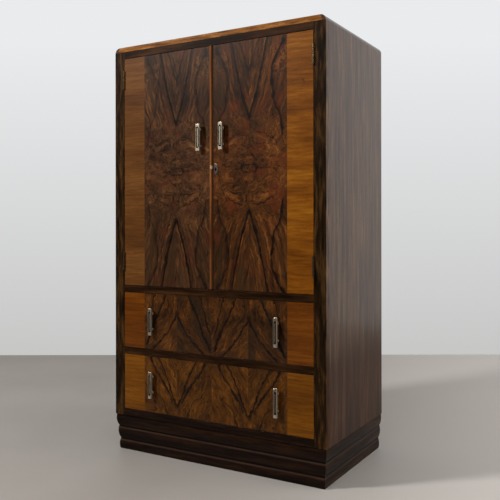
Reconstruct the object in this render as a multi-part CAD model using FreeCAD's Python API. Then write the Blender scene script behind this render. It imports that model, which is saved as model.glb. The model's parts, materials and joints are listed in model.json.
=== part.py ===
import FreeCAD, Part
import os

from FreeCAD import Vector

# Tallboy: two doors over two drawers on a ribbed plinth.
# X runs to the right, Y into the cabinet and Z up, all in millimetres.
# The origin is on the floor, under the middle of the whole object.

# Carcass
width = 762.0
depth = 441.0
height = 1325.0
side_thickness = 16.0
top_thickness = 18.0
corner_radius = 22.0
top_nose_radius = 7.0
back_thickness = 6.0
back_rebate = 8.0

# Front frame
stile_width = 38.0
front_thickness = 20.0
top_rail_height = 22.0
mid_rail_height = 22.0
drawer_rail_height = 22.0
bottom_rail_height = 23.0
drawer_rail_depth = 60.0
drawer_opening_height = 180.0

# Light strip along the front of the top
strip_depth = 12.0
strip_end_band = 12.0
strip_top_band = 24.0
strip_bend_share = 0.28
strip_rise_share = 0.56

# Plinth, whose ribs step in towards the floor
plinth_height = 115.0
plinth_thickness = 22.0
rib_height_shares = (0.30, 0.36, 0.34)
rib_insets = (9.0, 6.0, 2.0)
groove_insets = (11.0, 12.0, 8.0, 3.0)

# Inside boards
inner_board_thickness = 5.0
inner_board_groove = 6.0
runner_width = 45.0
guide_height = 20.0
stop_length = 40.0
stop_depth = 25.0
stop_height = 6.0
stop_from_centre = 150.0
shelf_thickness = 14.0
shelf_setback = 25.0
shelf_side_clearance = 0.5
shelf_count = 2
bearer_width = 12.0
bearer_height = 16.0
door_stop_depth = 16.0
door_stop_drop = 10.0

# Doors
door_gap = 1.5
meeting_gap = 2.0
bead_width = 11.0
bead_proud = 5.0
veneer_thickness = 0.8
crossband_width = 84.0

# Hinges
hinge_length = 60.0
hinge_from_top = 70.0
hinge_from_bottom = 79.0
knuckle_count = 5
knuckle_gap = 0.3
barrel_radius = 3.0
barrel_clearance = 0.3
pin_radius = 1.2
pin_clearance = 0.05
pin_forward = 2.5
leaf_thickness = 1.2
leaf_gap = 0.3
leaf_reach = 16.0
hinge_screw_radius = 1.5
hinge_screw_head_radius = 2.6
hinge_screw_length = 15.0
hinge_screw_pitch = 20.0
hinge_screws_per_leaf = 3
screw_clearance = 0.1

# Handles
handle_proud = 16.0
handle_length = 86.0
handle_width = 16.0
handle_thickness = 6.0
handle_edge_radius = 1.8
handle_corner_radius = 3.0
handle_band_length = 8.0
handle_groove_width = 9.6
handle_groove_length = 66.0
handle_groove_depth = 1.8
handle_rib_width = 4.4
handle_rib_length = 57.0
handle_post_spacing = 50.0
handle_post_radius = 3.5
handle_collar_radius = 5.5
handle_collar_height = 1.5
handle_screw_radius = 1.9
handle_screw_head_radius = 3.8
handle_screw_head_height = 2.0
handle_screw_bite = 8.0
door_handle_from_centre = 41.0
door_handle_above_middle = 92.5
drawer_handle_from_crossband = 33.0

# Lock in the right door
lock_below_middle = 5.5
keyhole_from_edge = 8.5
escutcheon_width = 16.0
escutcheon_height = 34.0
escutcheon_thickness = 1.2
keyhole_radius = 2.0
keyhole_slot_width = 2.0
keyhole_slot_drop = 6.5
lock_case_length = 45.0
lock_case_height = 50.0
lock_case_thickness = 11.0
lock_case_below_key = 18.0
lock_bolt_above_key = 15.0
lock_bolt_height = 12.0
lock_bolt_thickness = 6.0
lock_bolt_length = 28.0
lock_bolt_setback = 0.2
lock_bolt_throw = 9.0
lock_bolt_clearance = 0.3
strike_clearance = 0.6

# Small bolt inside the left door
catch_from_edge = 20.0
catch_case_width = 14.0
catch_case_depth = 12.0
catch_case_height = 40.0
catch_case_from_stop = 14.0
catch_rod_radius = 2.5
catch_rod_clearance = 0.3
catch_rod_below_stop = 1.5
catch_travel = 12.0
catch_knob_radius = 4.0
catch_knob_length = 9.0
catch_knob_room = 1.0
catch_hole_clearance = 1.5

# Drawers
drawer_face_gap = 1.2
drawer_running_gap = 0.3
drawer_guide_gap = 0.5
drawer_box_length = 380.0
drawer_side_thickness = 10.0
drawer_back_thickness = 10.0
drawer_back_drop = 6.0
drawer_bottom_thickness = 5.0
drawer_bottom_rise = 10.0
drawer_bottom_groove = 5.0

# Overrun of every cutting tool past the face that it cuts
overrun = 1.0

# Share of its radius that a round corner's middle lies from its centre, along each axis
eighth_turn_share = 0.5 ** 0.5

# Planes that the pieces share
front = (handle_proud - depth) / 2
back = front + depth
back_face = back - back_thickness
frame_back = front + front_thickness
half_width = width / 2
inside = half_width - side_thickness
opening = half_width - stile_width
top_underside = height - top_thickness
door_top = top_underside - top_rail_height
lower_drawer_bottom = plinth_height + bottom_rail_height
lower_drawer_top = lower_drawer_bottom + drawer_opening_height
upper_drawer_bottom = lower_drawer_top + drawer_rail_height
upper_drawer_top = upper_drawer_bottom + drawer_opening_height
door_bottom = upper_drawer_top + mid_rail_height
door_middle = (door_bottom + door_top) / 2
burr_edge = opening - crossband_width
drawer_handle_x = burr_edge - drawer_handle_from_crossband
core_front = front + veneer_thickness
pin_x = opening - door_gap / 2
pin_y = front - pin_forward
left_meeting_edge = bead_width / 2
right_meeting_edge = left_meeting_edge + meeting_gap
door_outer_edge = opening - door_gap
stop_underside = door_top - door_stop_drop
handle_post_z = handle_post_spacing / 2

X = Vector(1, 0, 0)
Y = Vector(0, 1, 0)
Z = Vector(0, 0, 1)


def block(x_span, y_span, z_span):
    """A board between two places along each axis."""
    lengths = [high - low for low, high in (x_span, y_span, z_span)]
    return Part.makeBox(*lengths, Vector(x_span[0], y_span[0], z_span[0]))


def prism(points, sweep):
    """A straight-sided outline swept along a vector."""
    return Part.Face(Part.makePolygon(points + points[:1])).extrude(sweep)


def solid_of(edges, sweep):
    """A closed outline of lines and arcs swept along a vector."""
    return Part.Face(Part.Wire(edges)).extrude(sweep)


def arc(start, middle, end):
    """The edge of a circle through three points."""
    return Part.Arc(start, middle, end).toShape()


def line(start, end):
    """A straight edge."""
    return Part.LineSegment(start, end).toShape()


def cut_all(shape, tools):
    """The shape with every tool taken out of it."""
    return shape.cut(list(tools)) if tools else shape


def flipped(point):
    """The same point on the other side of the centreline."""
    return Vector(-point.x, point.y, point.z)


def mirrored(shape):
    """The same shape on the other side of the centreline."""
    return shape.mirror(Vector(0, 0, 0), X)


def moved(shape, x, y, z):
    """A copy of the shape at another place."""
    copy = shape.copy()
    copy.translate(Vector(x, y, z))
    return copy


def save(name, *shapes):
    """Writes one node with all the solids of the given shapes."""
    solids = [solid for shape in shapes for solid in shape.Solids]
    node = solids[0] if len(solids) == 1 else Part.makeCompound(solids)
    node.exportStep("parts/" + name + ".step")


# Carcass shapes


def rounded_ends():
    """The whole height of the carcass with its two upper side edges rounded."""
    shoulder = height - corner_radius
    centre_x = half_width - corner_radius
    bend = corner_radius * eighth_turn_share
    right_low = Vector(half_width, front - overrun, 0)
    right_high = Vector(half_width, front - overrun, shoulder)
    right_bend = Vector(centre_x + bend, front - overrun, shoulder + bend)
    right_top = Vector(centre_x, front - overrun, height)
    right_points = (right_low, right_high, right_bend, right_top)
    left_low, left_high, left_bend, left_top = (flipped(point) for point in right_points)
    edges = [
        line(left_low, right_low),
        line(right_low, right_high),
        arc(right_high, right_bend, right_top),
        line(right_top, left_top),
        arc(left_top, left_bend, left_high),
        line(left_high, left_low),
    ]
    return solid_of(edges, Y * (depth + 2 * overrun))


def top_with_nose():
    """The top's outer form, with rounded ends and a rounded upper front edge."""
    nose_y = front + top_nose_radius
    nose_z = height - top_nose_radius
    bend = top_nose_radius * eighth_turn_share
    rear_low = Vector(-half_width, back, top_underside)
    rear_high = Vector(-half_width, back, height)
    nose_top = Vector(-half_width, nose_y, height)
    nose_middle = Vector(-half_width, nose_y - bend, nose_z + bend)
    nose_front = Vector(-half_width, front, nose_z)
    front_low = Vector(-half_width, front, top_underside)
    edges = [
        line(front_low, rear_low),
        line(rear_low, rear_high),
        line(rear_high, nose_top),
        arc(nose_top, nose_middle, nose_front),
        line(nose_front, front_low),
    ]
    return solid_of(edges, X * width).common(rounded_ends())


def strip_outline():
    """The light strip's front outline, whose ends curve in under the dark corners."""
    y = front - overrun
    low_x = half_width - strip_end_band
    top_x = half_width - strip_top_band
    bend_x = low_x + (top_x - low_x) * strip_bend_share
    bend_z = top_underside + top_thickness * strip_rise_share
    right_low, right_bend, right_top = (
        Vector(x, y, z) for x, z in ((low_x, top_underside), (bend_x, bend_z), (top_x, height))
    )
    left_low, left_bend, left_top = (flipped(point) for point in (right_low, right_bend, right_top))
    edges = [
        line(left_low, right_low),
        arc(right_low, right_bend, right_top),
        line(right_top, left_top),
        arc(left_top, left_bend, left_low),
    ]
    return solid_of(edges, Y * (strip_depth + overrun))


def plinth_profile(place):
    """The outer edges of a plinth board's section; place turns an inset and a height into a point."""
    levels = [0]
    for share in rib_height_shares:
        levels.append(levels[-1] + plinth_height * share)
    edges = []
    for rib, inset in enumerate(rib_insets):
        low, high = levels[rib], levels[rib + 1]
        start = place(groove_insets[rib], low)
        end = place(groove_insets[rib + 1], high)
        edges.append(arc(start, place(inset, (low + high) / 2), end))
    corners = [
        place(groove_insets[-1], levels[-1]),
        place(plinth_thickness, levels[-1]),
        place(plinth_thickness, 0),
        place(groove_insets[0], 0),
    ]
    edges += [line(start, end) for start, end in zip(corners, corners[1:])]
    return edges


def plinth_front():
    """The ribbed front board, mitred at both ends."""
    board = solid_of(plinth_profile(lambda inset, z: Vector(-half_width, front + inset, z)), X * width)
    inner = half_width - plinth_thickness
    mitre_y = front + plinth_thickness
    plan = [(-half_width, front), (half_width, front), (inner, mitre_y), (-inner, mitre_y)]
    return board.common(prism([Vector(x, y, 0) for x, y in plan], Z * plinth_height))


def plinth_side():
    """The ribbed right-hand board, mitred at its front end."""
    board = solid_of(plinth_profile(lambda inset, z: Vector(half_width - inset, front, z)), Y * depth)
    inner = half_width - plinth_thickness
    plan = [(half_width, front), (half_width, back), (inner, back), (inner, front + plinth_thickness)]
    return board.common(prism([Vector(x, y, 0) for x, y in plan], Z * plinth_height))


def plinth_back():
    """The plain board between the two side boards, behind."""
    inner = half_width - plinth_thickness
    return block((-inner, inner), (back - plinth_thickness, back), (0, plinth_height))


def side_panel():
    """The right-hand side, rebated for the back panel."""
    panel = block((inside, half_width), (frame_back, back), (plinth_height, top_underside))
    rebate = block(
        (inside - overrun, inside + back_rebate),
        (back_face, back + overrun),
        (plinth_height - overrun, top_underside + overrun),
    )
    return panel.cut(rebate).common(rounded_ends())


def groove_ring(low, high):
    """The room of a thin inner board and its tongue between a rail and its runners."""
    reach = inside - runner_width + inner_board_groove
    middle = (low + high) / 2
    z_span = (middle - inner_board_thickness / 2, middle + inner_board_thickness / 2)
    return block((-reach, reach), (front + drawer_rail_depth - inner_board_groove, back_face), z_span)


def drawer_rail(low, high):
    """A rail under a drawer, grooved behind for the thin board."""
    rail = block((-opening, opening), (front, front + drawer_rail_depth), (low, high))
    return rail.cut(groove_ring(low, high))


def runner(low, high):
    """The right-hand strip that a drawer side slides on, grooved for the thin board."""
    strip = block((inside - runner_width, inside), (front + drawer_rail_depth, back_face), (low, high))
    return strip.cut(groove_ring(low, high))


def guide(low):
    """The right-hand strip that keeps a drawer from moving sideways."""
    return block((opening, inside), (front + drawer_rail_depth, back_face), (low, low + guide_height))


def drawer_stop(low):
    """The right-hand block that a closed drawer front rests against."""
    x_span = (stop_from_centre - stop_length / 2, stop_from_centre + stop_length / 2)
    return block(x_span, (frame_back, frame_back + stop_depth), (low, low + stop_height))


def both_sides(shapes):
    """The right-hand shapes together with their mirror images."""
    return list(shapes) + [mirrored(shape) for shape in shapes]


# Hinges


def hinge_places():
    """Heights of the middles of a door's two hinges."""
    return (door_bottom + hinge_from_bottom, door_top - hinge_from_top)


def hinge_screw(side, z, extra=0):
    """A countersunk screw through a leaf, flush with the leaf's face; side is 1 for the frame's."""
    start = Vector(side * leaf_gap / 2, pin_forward + leaf_reach / 2, z)
    head_radius = hinge_screw_head_radius + extra
    shank_radius = hinge_screw_radius + extra
    head = Part.makeCone(head_radius, shank_radius, leaf_thickness, start, X * side)
    shank = Part.makeCylinder(shank_radius, hinge_screw_length + extra, start, X * side)
    return head.fuse(shank).removeSplitter()


def hinge_screws(side, extra=0):
    """All the screws of one leaf."""
    middle = (hinge_screws_per_leaf - 1) / 2
    heights = [(index - middle) * hinge_screw_pitch for index in range(hinge_screws_per_leaf)]
    return [hinge_screw(side, z, extra) for z in heights]


def hinge_leaf(side, knuckles):
    """One leaf and its knuckles about the pin, which stands at the origin."""
    near, far = leaf_gap / 2, leaf_gap / 2 + leaf_thickness
    x_span = sorted((side * near, side * far))
    pitch = hinge_length / knuckle_count
    room_radius = barrel_radius + barrel_clearance
    bottom = -hinge_length / 2
    plate = block(x_span, (0, pin_forward + leaf_reach), (bottom, bottom + hinge_length))
    leaf = plate.cut(Part.makeCylinder(room_radius, hinge_length, Z * bottom))
    for index in knuckles:
        low = bottom + index * pitch + knuckle_gap / 2
        high = low + pitch - knuckle_gap
        knuckle = Part.makeCylinder(barrel_radius, high - low, Z * low)
        web = block(x_span, (0, room_radius + overrun), (low, high))
        leaf = leaf.fuse([knuckle, web])
    bore = Part.makeCylinder(pin_radius + pin_clearance, hinge_length, Z * bottom)
    return cut_all(leaf, [bore] + hinge_screws(side, screw_clearance)).removeSplitter()


def hinge_pin():
    """The pin of one hinge."""
    return Part.makeCylinder(pin_radius, hinge_length, Z * (-hinge_length / 2))


def at_hinges(shapes):
    """Copies of right-hand hinge shapes at both hinges of the right door."""
    return [moved(shape, pin_x, pin_y, z) for z in hinge_places() for shape in shapes]


def hinge_room():
    """What both hinges of the right door take out of the frame and the door."""
    far = leaf_gap / 2 + leaf_thickness
    bottom = -hinge_length / 2
    room_radius = barrel_radius + barrel_clearance
    room_height = hinge_length + 2 * barrel_clearance
    barrel = Part.makeCylinder(room_radius, room_height, Z * (bottom - barrel_clearance))
    mortise = block((-far, far), (0, pin_forward + leaf_reach), (bottom, bottom + hinge_length))
    holes = hinge_screws(1, screw_clearance) + hinge_screws(-1, screw_clearance)
    return at_hinges([barrel, mortise] + holes)


# Handles


def slot_prism(slot_width, slot_length, y_span):
    """An upright bar with round ends, about the origin."""
    radius = slot_width / 2
    straight = slot_length / 2 - radius
    low_y, high_y = y_span
    right_low, right_high = Vector(radius, low_y, -straight), Vector(radius, low_y, straight)
    left_low, left_high = Vector(-radius, low_y, -straight), Vector(-radius, low_y, straight)
    edges = [
        line(right_low, right_high),
        arc(right_high, Vector(0, low_y, straight + radius), left_high),
        line(left_high, left_low),
        arc(left_low, Vector(0, low_y, -straight - radius), right_low),
    ]
    return solid_of(edges, Y * (high_y - low_y))


def handle_section():
    """The bar's section with rounded front edges, as long as the handle."""
    half = handle_width / 2
    face = -handle_proud
    rear = face + handle_thickness
    radius = handle_edge_radius
    bend = radius * (1 - eighth_turn_share)
    z = -handle_length / 2
    points = [
        (half, rear),
        (half, face + radius),
        (half - bend, face + bend),
        (half - radius, face),
    ]
    right_rear, right_side, right_bend, right_face = (Vector(x, y, z) for x, y in points)
    left_rear, left_side, left_bend, left_face = (Vector(-x, y, z) for x, y in points)
    edges = [
        line(left_rear, right_rear),
        line(right_rear, right_side),
        arc(right_side, right_bend, right_face),
        line(right_face, left_face),
        arc(left_face, left_bend, left_side),
        line(left_side, left_rear),
    ]
    return solid_of(edges, Z * handle_length)


def handle_outline():
    """The bar's front outline, a long bar with softened corners."""
    face = -handle_proud
    radius = handle_corner_radius
    side_x = handle_width / 2
    end_z = handle_length / 2
    bend = radius * (1 - eighth_turn_share)
    edges = []
    corners = [(1, 1), (-1, 1), (-1, -1), (1, -1)]
    for index, (x_sign, z_sign) in enumerate(corners):
        on_side = Vector(x_sign * side_x, face, z_sign * (end_z - radius))
        on_bend = Vector(x_sign * (side_x - bend), face, z_sign * (end_z - bend))
        on_end = Vector(x_sign * (side_x - radius), face, z_sign * end_z)
        turn = (on_side, on_bend, on_end) if index % 2 == 0 else (on_end, on_bend, on_side)
        edges.append(arc(*turn))
    starts = [edge.valueAt(edge.FirstParameter) for edge in edges]
    ends = [edge.valueAt(edge.LastParameter) for edge in edges]
    for index, end in enumerate(ends):
        edges.append(line(end, starts[(index + 1) % len(starts)]))
    return solid_of(Part.__sortEdges__(edges), Y * handle_thickness)


def handle_bar():
    """One handle: grooved bar and two round posts with collars, its back on the plane y = 0."""
    face = -handle_proud
    bar = handle_section().common(handle_outline())
    groove_span = (face - overrun, face + handle_groove_depth)
    groove = slot_prism(handle_groove_width, handle_groove_length, groove_span)
    rib = slot_prism(handle_rib_width, handle_rib_length, groove_span)
    band_half = handle_length / 2 - handle_band_length
    line_depth = handle_groove_depth / 2
    lines = [
        block(
            (-handle_width / 2 - overrun, handle_width / 2 + overrun),
            (face - overrun, face + line_depth),
            sorted((side * band_half, side * (band_half - line_depth))),
        )
        for side in (1, -1)
    ]
    bar = cut_all(bar, [groove.cut(rib)] + lines)
    reach = handle_proud - handle_thickness / 2
    posts = []
    for z in (handle_post_z, -handle_post_z):
        posts.append(Part.makeCylinder(handle_post_radius, reach, Z * z, Y * -1))
        posts.append(Part.makeCylinder(handle_collar_radius, handle_collar_height, Z * z, Y * -1))
    hole_radius = handle_screw_radius + screw_clearance
    hole_depth = handle_screw_bite + screw_clearance
    heights = (handle_post_z, -handle_post_z)
    holes = [Part.makeCylinder(hole_radius, hole_depth, Z * z, Y * -1) for z in heights]
    return cut_all(bar.fuse(posts), holes).removeSplitter()


def handle_screws():
    """The two screws of one handle, from behind a front of the usual thickness."""
    screws = []
    length = front_thickness + handle_screw_bite
    for z in (handle_post_z, -handle_post_z):
        seat = Vector(0, front_thickness, z)
        shank = Part.makeCylinder(handle_screw_radius, length, seat, Y * -1)
        head = Part.makeCylinder(handle_screw_head_radius, handle_screw_head_height, seat, Y)
        screws.append(shank.fuse(head).removeSplitter())
    return screws


def handle_holes(x, z):
    """The holes that one handle's screws need."""
    radius = handle_screw_radius + screw_clearance
    return [
        Part.makeCylinder(radius, front_thickness + 2 * overrun, Vector(x, front - overrun, z + offset), Y)
        for offset in (handle_post_z, -handle_post_z)
    ]


def handles(places):
    """Handles with their screws at places given as x and z."""
    pieces = [handle_bar()] + handle_screws()
    return [moved(piece, x, front, z) for x, z in places for piece in pieces]


# Veneers


def leaves(x_spans, z_spans):
    """Sheets of figured veneer that meet edge to edge."""
    return [block(x_span, (front, core_front), z_span) for x_span in x_spans for z_span in z_spans]


def halves(low, high):
    """A span cut into two equal spans."""
    middle = (low + high) / 2
    return [(low, middle), (middle, high)]


# Doors

door_z_span = (door_bottom + door_gap, door_top - door_gap)
door_handle_z = door_middle + door_handle_above_middle
key_x = right_meeting_edge + keyhole_from_edge
key_z = door_middle - lock_below_middle
lock_bolt_z = key_z + lock_bolt_above_key
lock_y = frame_back - lock_case_thickness / 2
catch_x = left_meeting_edge - catch_from_edge
catch_y = frame_back + catch_case_depth / 2


def meeting_bead():
    """The half-round bead along the left door's meeting edge."""
    z = door_z_span[0]
    low = Vector(-bead_width / 2, core_front, z)
    left_face = Vector(-bead_width / 2, front, z)
    crown = Vector(0, front - bead_proud, z)
    right_face = Vector(left_meeting_edge, front, z)
    high = Vector(left_meeting_edge, core_front, z)
    round_face = arc(left_face, crown, right_face)
    edges = [line(low, left_face), round_face, line(right_face, high), line(high, low)]
    return solid_of(edges, Z * (door_z_span[1] - z))


def keyhole(start_y, length):
    """A keyhole's round eye and slot, swept into the door."""
    eye = Part.makeCylinder(keyhole_radius, length, Vector(key_x, start_y, key_z), Y)
    x_span = (key_x - keyhole_slot_width / 2, key_x + keyhole_slot_width / 2)
    slot = block(x_span, (start_y, start_y + length), (key_z - keyhole_slot_drop, key_z))
    return eye.fuse(slot)


def escutcheon():
    """The oval plate round the keyhole."""
    centre = Vector(key_x, front - escutcheon_thickness, key_z)
    tall = centre + Z * (escutcheon_height / 2)
    wide = centre + X * (escutcheon_width / 2)
    outline = Part.Ellipse(tall, wide, centre).toShape()
    plate = Part.Face(Part.Wire([outline])).extrude(Y * escutcheon_thickness)
    return plate.cut(keyhole(centre.y - overrun, escutcheon_thickness + 2 * overrun))


def lock_room():
    """The space that the lock case fills in the right door."""
    low = key_z - lock_case_below_key
    return block(
        (right_meeting_edge, right_meeting_edge + lock_case_length),
        (frame_back - lock_case_thickness, frame_back),
        (low, low + lock_case_height),
    )


def bolt_bar(x_span, extra=0):
    """A bar of the lock bolt's section along x, grown by a clearance."""
    y_half = lock_bolt_thickness / 2 + extra
    z_half = lock_bolt_height / 2 + extra
    return block(x_span, (lock_y - y_half, lock_y + y_half), (lock_bolt_z - z_half, lock_bolt_z + z_half))


def lock_bolt():
    """The bolt, drawn back into the case."""
    start = right_meeting_edge + lock_bolt_setback
    return bolt_bar((start, start + lock_bolt_length))


def lock_case():
    """The lock's case with the bolt's channel and the keyhole."""
    channel_end = right_meeting_edge + lock_bolt_setback + lock_bolt_length + lock_bolt_clearance
    channel = bolt_bar((right_meeting_edge - overrun, channel_end), lock_bolt_clearance)
    key_room = keyhole(frame_back - lock_case_thickness - overrun, lock_case_thickness)
    return lock_room().cut([channel, key_room])


def strike_room():
    """The mortise in the left door's edge that the bolt enters."""
    depth_into_door = lock_bolt_throw - meeting_gap + strike_clearance
    return bolt_bar((left_meeting_edge - depth_into_door, left_meeting_edge + overrun), strike_clearance)


def catch_rod():
    """The small bolt inside the left door, lowered, with its knob."""
    top = stop_underside - catch_rod_below_stop
    case_bottom = stop_underside - catch_case_from_stop - catch_case_height
    knob_z = case_bottom - catch_travel - catch_knob_radius - catch_knob_room
    rod = Part.makeCylinder(catch_rod_radius, top - knob_z, Vector(catch_x, catch_y, knob_z))
    knob = Part.makeCylinder(catch_knob_radius, catch_knob_length, Vector(catch_x, catch_y, knob_z), Y)
    return rod.fuse(knob).removeSplitter()


def catch_case():
    """The case that guides the small bolt."""
    high = stop_underside - catch_case_from_stop
    low = high - catch_case_height
    x_span = (catch_x - catch_case_width / 2, catch_x + catch_case_width / 2)
    case = block(x_span, (frame_back, frame_back + catch_case_depth), (low, high))
    bore_start = Vector(catch_x, catch_y, low - overrun)
    bore_length = catch_case_height + 2 * overrun
    return case.cut(Part.makeCylinder(catch_rod_radius + catch_rod_clearance, bore_length, bore_start))


def door_stop():
    """The batten behind the top rail, with the hole for the small bolt."""
    y_span = (frame_back, frame_back + door_stop_depth)
    batten = block((-inside, inside), y_span, (stop_underside, top_underside))
    hole_start = Vector(catch_x, catch_y, stop_underside - overrun)
    hole_depth = catch_travel + overrun
    return batten.cut(Part.makeCylinder(catch_rod_radius + catch_hole_clearance, hole_depth, hole_start))


def shelf_tops():
    """Heights of the shelves' upper faces, which share the cupboard evenly."""
    pitch = (top_underside - door_bottom) / (shelf_count + 1)
    return [door_bottom + pitch * (index + 1) for index in range(shelf_count)]


def shelf(top):
    """One loose shelf on its bearers."""
    reach = inside - shelf_side_clearance
    return block((-reach, reach), (frame_back + shelf_setback, back_face), (top - shelf_thickness, top))


def bearer(top):
    """The right-hand batten under a shelf."""
    high = top - shelf_thickness
    y_span = (frame_back + shelf_setback, back_face)
    return block((inside - bearer_width, inside), y_span, (high - bearer_height, high))


# Drawers


def make_drawer(name, low):
    """Writes all the pieces of one drawer, whose opening starts at height low."""
    high = low + drawer_opening_height
    face_x = opening - drawer_face_gap
    face_z_span = (low + drawer_face_gap, high - drawer_face_gap)
    handle_z = (low + high) / 2
    places = [(-drawer_handle_x, handle_z), (drawer_handle_x, handle_z)]
    side_x = opening - drawer_guide_gap
    inner_x = side_x - drawer_side_thickness
    side_low = low + drawer_running_gap
    side_high = high - drawer_face_gap
    rear = frame_back + drawer_box_length
    panel_low = side_low + drawer_bottom_rise
    panel_high = panel_low + drawer_bottom_thickness
    panel_x = inner_x + drawer_bottom_groove
    panel = block((-panel_x, panel_x), (frame_back - drawer_bottom_groove, rear), (panel_low, panel_high))
    core = block((-face_x, face_x), (core_front, frame_back), face_z_span)
    holes = [hole for x, z in places for hole in handle_holes(x, z)]
    save(name + "_drawer_front", cut_all(core, [panel] + holes))
    quarter = burr_edge / 2
    spans = [(-burr_edge, -quarter), (-quarter, 0), (0, quarter), (quarter, burr_edge)]
    burr = leaves(spans, [face_z_span])
    save(name + "_drawer_burr_veneer", *[cut_all(leaf, holes) for leaf in burr])
    band = block((burr_edge, face_x), (front, core_front), face_z_span)
    save(name + "_drawer_crossbands", *both_sides([band]))
    side = block((inner_x, side_x), (frame_back, rear), (side_low, side_high))
    save(name + "_drawer_sides", *both_sides([side.cut(panel)]))
    back_y = (rear - drawer_back_thickness, rear)
    back_z = (panel_high, side_high - drawer_back_drop)
    save(name + "_drawer_back", block((-inner_x, inner_x), back_y, back_z))
    save(name + "_drawer_bottom", panel)
    save(name + "_drawer_handles", *handles(places))


def make_carcass():
    """Writes the fixed pieces."""
    ends = rounded_ends()
    room = hinge_room()
    panel = side_panel()
    stile = block((opening, half_width), (front, frame_back), (plinth_height, top_underside))
    stile = cut_all(stile.common(ends), room)
    save("right_side_panel", panel)
    save("left_side_panel", mirrored(panel))
    save("right_stile", stile)
    save("left_stile", mirrored(stile))
    save("top_board", top_with_nose().cut(strip_outline()))
    save("top_front_strip", top_with_nose().common(strip_outline()))
    save("top_rail", block((-opening, opening), (front, frame_back), (door_top, top_underside)))
    save("mid_rail", block((-opening, opening), (front, frame_back), (upper_drawer_top, door_bottom)))
    save("drawer_rail", drawer_rail(lower_drawer_top, upper_drawer_bottom))
    save("bottom_rail", drawer_rail(plinth_height, lower_drawer_bottom))
    floor_z = (upper_drawer_top, door_bottom)
    save("cupboard_floor", block((-inside, inside), (frame_back, back_face), floor_z))
    save("dust_board", groove_ring(lower_drawer_top, upper_drawer_bottom))
    save("bottom_board", groove_ring(plinth_height, lower_drawer_bottom))
    back_reach = inside + back_rebate
    panel_z = (plinth_height, top_underside)
    save("back_panel", block((-back_reach, back_reach), (back_face, back), panel_z))
    save("plinth_front", plinth_front())
    save("plinth_right", plinth_side())
    save("plinth_left", mirrored(plinth_side()))
    save("plinth_back", plinth_back())
    levels = [(plinth_height, lower_drawer_bottom), (lower_drawer_top, upper_drawer_bottom)]
    save("drawer_runners", *both_sides([runner(low, high) for low, high in levels]))
    save("drawer_guides", *both_sides([guide(high) for low, high in levels]))
    save("drawer_stops", *both_sides([drawer_stop(high) for low, high in levels]))
    lower_top, upper_top = shelf_tops()
    save("shelf_lower", shelf(lower_top))
    save("shelf_upper", shelf(upper_top))
    save("shelf_bearers", *both_sides([bearer(top) for top in shelf_tops()]))
    save("door_stop", door_stop())
    frame_knuckles = range(0, knuckle_count, 2)
    save("frame_hinge_leaves", *both_sides(at_hinges([hinge_leaf(1, frame_knuckles)])))
    save("hinge_pins", *both_sides(at_hinges([hinge_pin()])))
    save("frame_hinge_screws", *both_sides(at_hinges(hinge_screws(1))))


def make_doors():
    """Writes the pieces of both doors."""
    room = hinge_room()
    left_room = [mirrored(shape) for shape in room]
    door_knuckles = range(1, knuckle_count, 2)
    door_leaves = at_hinges([hinge_leaf(-1, door_knuckles)])
    door_screws = at_hinges(hinge_screws(-1))
    left_place = (-door_handle_from_centre, door_handle_z)
    right_place = (door_handle_from_centre, door_handle_z)

    left_holes = left_room + handle_holes(*left_place)
    left_core = block((-door_outer_edge, left_meeting_edge), (core_front, frame_back), door_z_span)
    save("left_door_core", cut_all(left_core, left_holes + [strike_room()]))
    left_leaves = leaves(halves(-burr_edge, -bead_width / 2), halves(*door_z_span))
    save("left_door_burr_veneer", *[cut_all(leaf, left_holes) for leaf in left_leaves])
    left_band = block((-door_outer_edge, -burr_edge), (front, core_front), door_z_span)
    save("left_door_crossband", cut_all(left_band, left_holes))
    save("meeting_bead", meeting_bead())
    save("left_door_hinge_leaves", *[mirrored(leaf) for leaf in door_leaves])
    save("left_door_hinge_screws", *[mirrored(screw) for screw in door_screws])
    save("left_door_handle", *handles([left_place]))
    save("left_door_bolt_case", catch_case())
    save("left_door_bolt", catch_rod())

    key_room = keyhole(front - overrun, front_thickness)
    right_holes = room + handle_holes(*right_place) + [key_room]
    right_core = block((right_meeting_edge, door_outer_edge), (core_front, frame_back), door_z_span)
    save("right_door_core", cut_all(right_core, right_holes + [lock_room()]))
    right_leaves = leaves(halves(right_meeting_edge, burr_edge), halves(*door_z_span))
    save("right_door_burr_veneer", *[cut_all(leaf, right_holes) for leaf in right_leaves])
    right_band = block((burr_edge, door_outer_edge), (front, core_front), door_z_span)
    save("right_door_crossband", cut_all(right_band, right_holes))
    save("right_door_hinge_leaves", *door_leaves)
    save("right_door_hinge_screws", *door_screws)
    save("right_door_handle", *handles([right_place]))
    save("escutcheon", escutcheon())
    save("lock_case", lock_case())
    save("lock_bolt", lock_bolt())


os.makedirs("parts", exist_ok=True)
make_carcass()
make_doors()
make_drawer("lower", lower_drawer_bottom)
make_drawer("upper", upper_drawer_bottom)
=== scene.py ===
"""Tallboy in figured walnut: its finishes, its fittings and the studio that it stands in.

Every place and size is in metres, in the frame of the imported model: X runs to the right, Y into the
cabinet and Z up, with the origin on the floor under the middle.
"""

import json
import logging
import math
from dataclasses import dataclass, replace
from enum import Enum
from typing import Any, Callable, Sequence, Union

import bpy
from mathutils import Matrix, Vector

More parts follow.
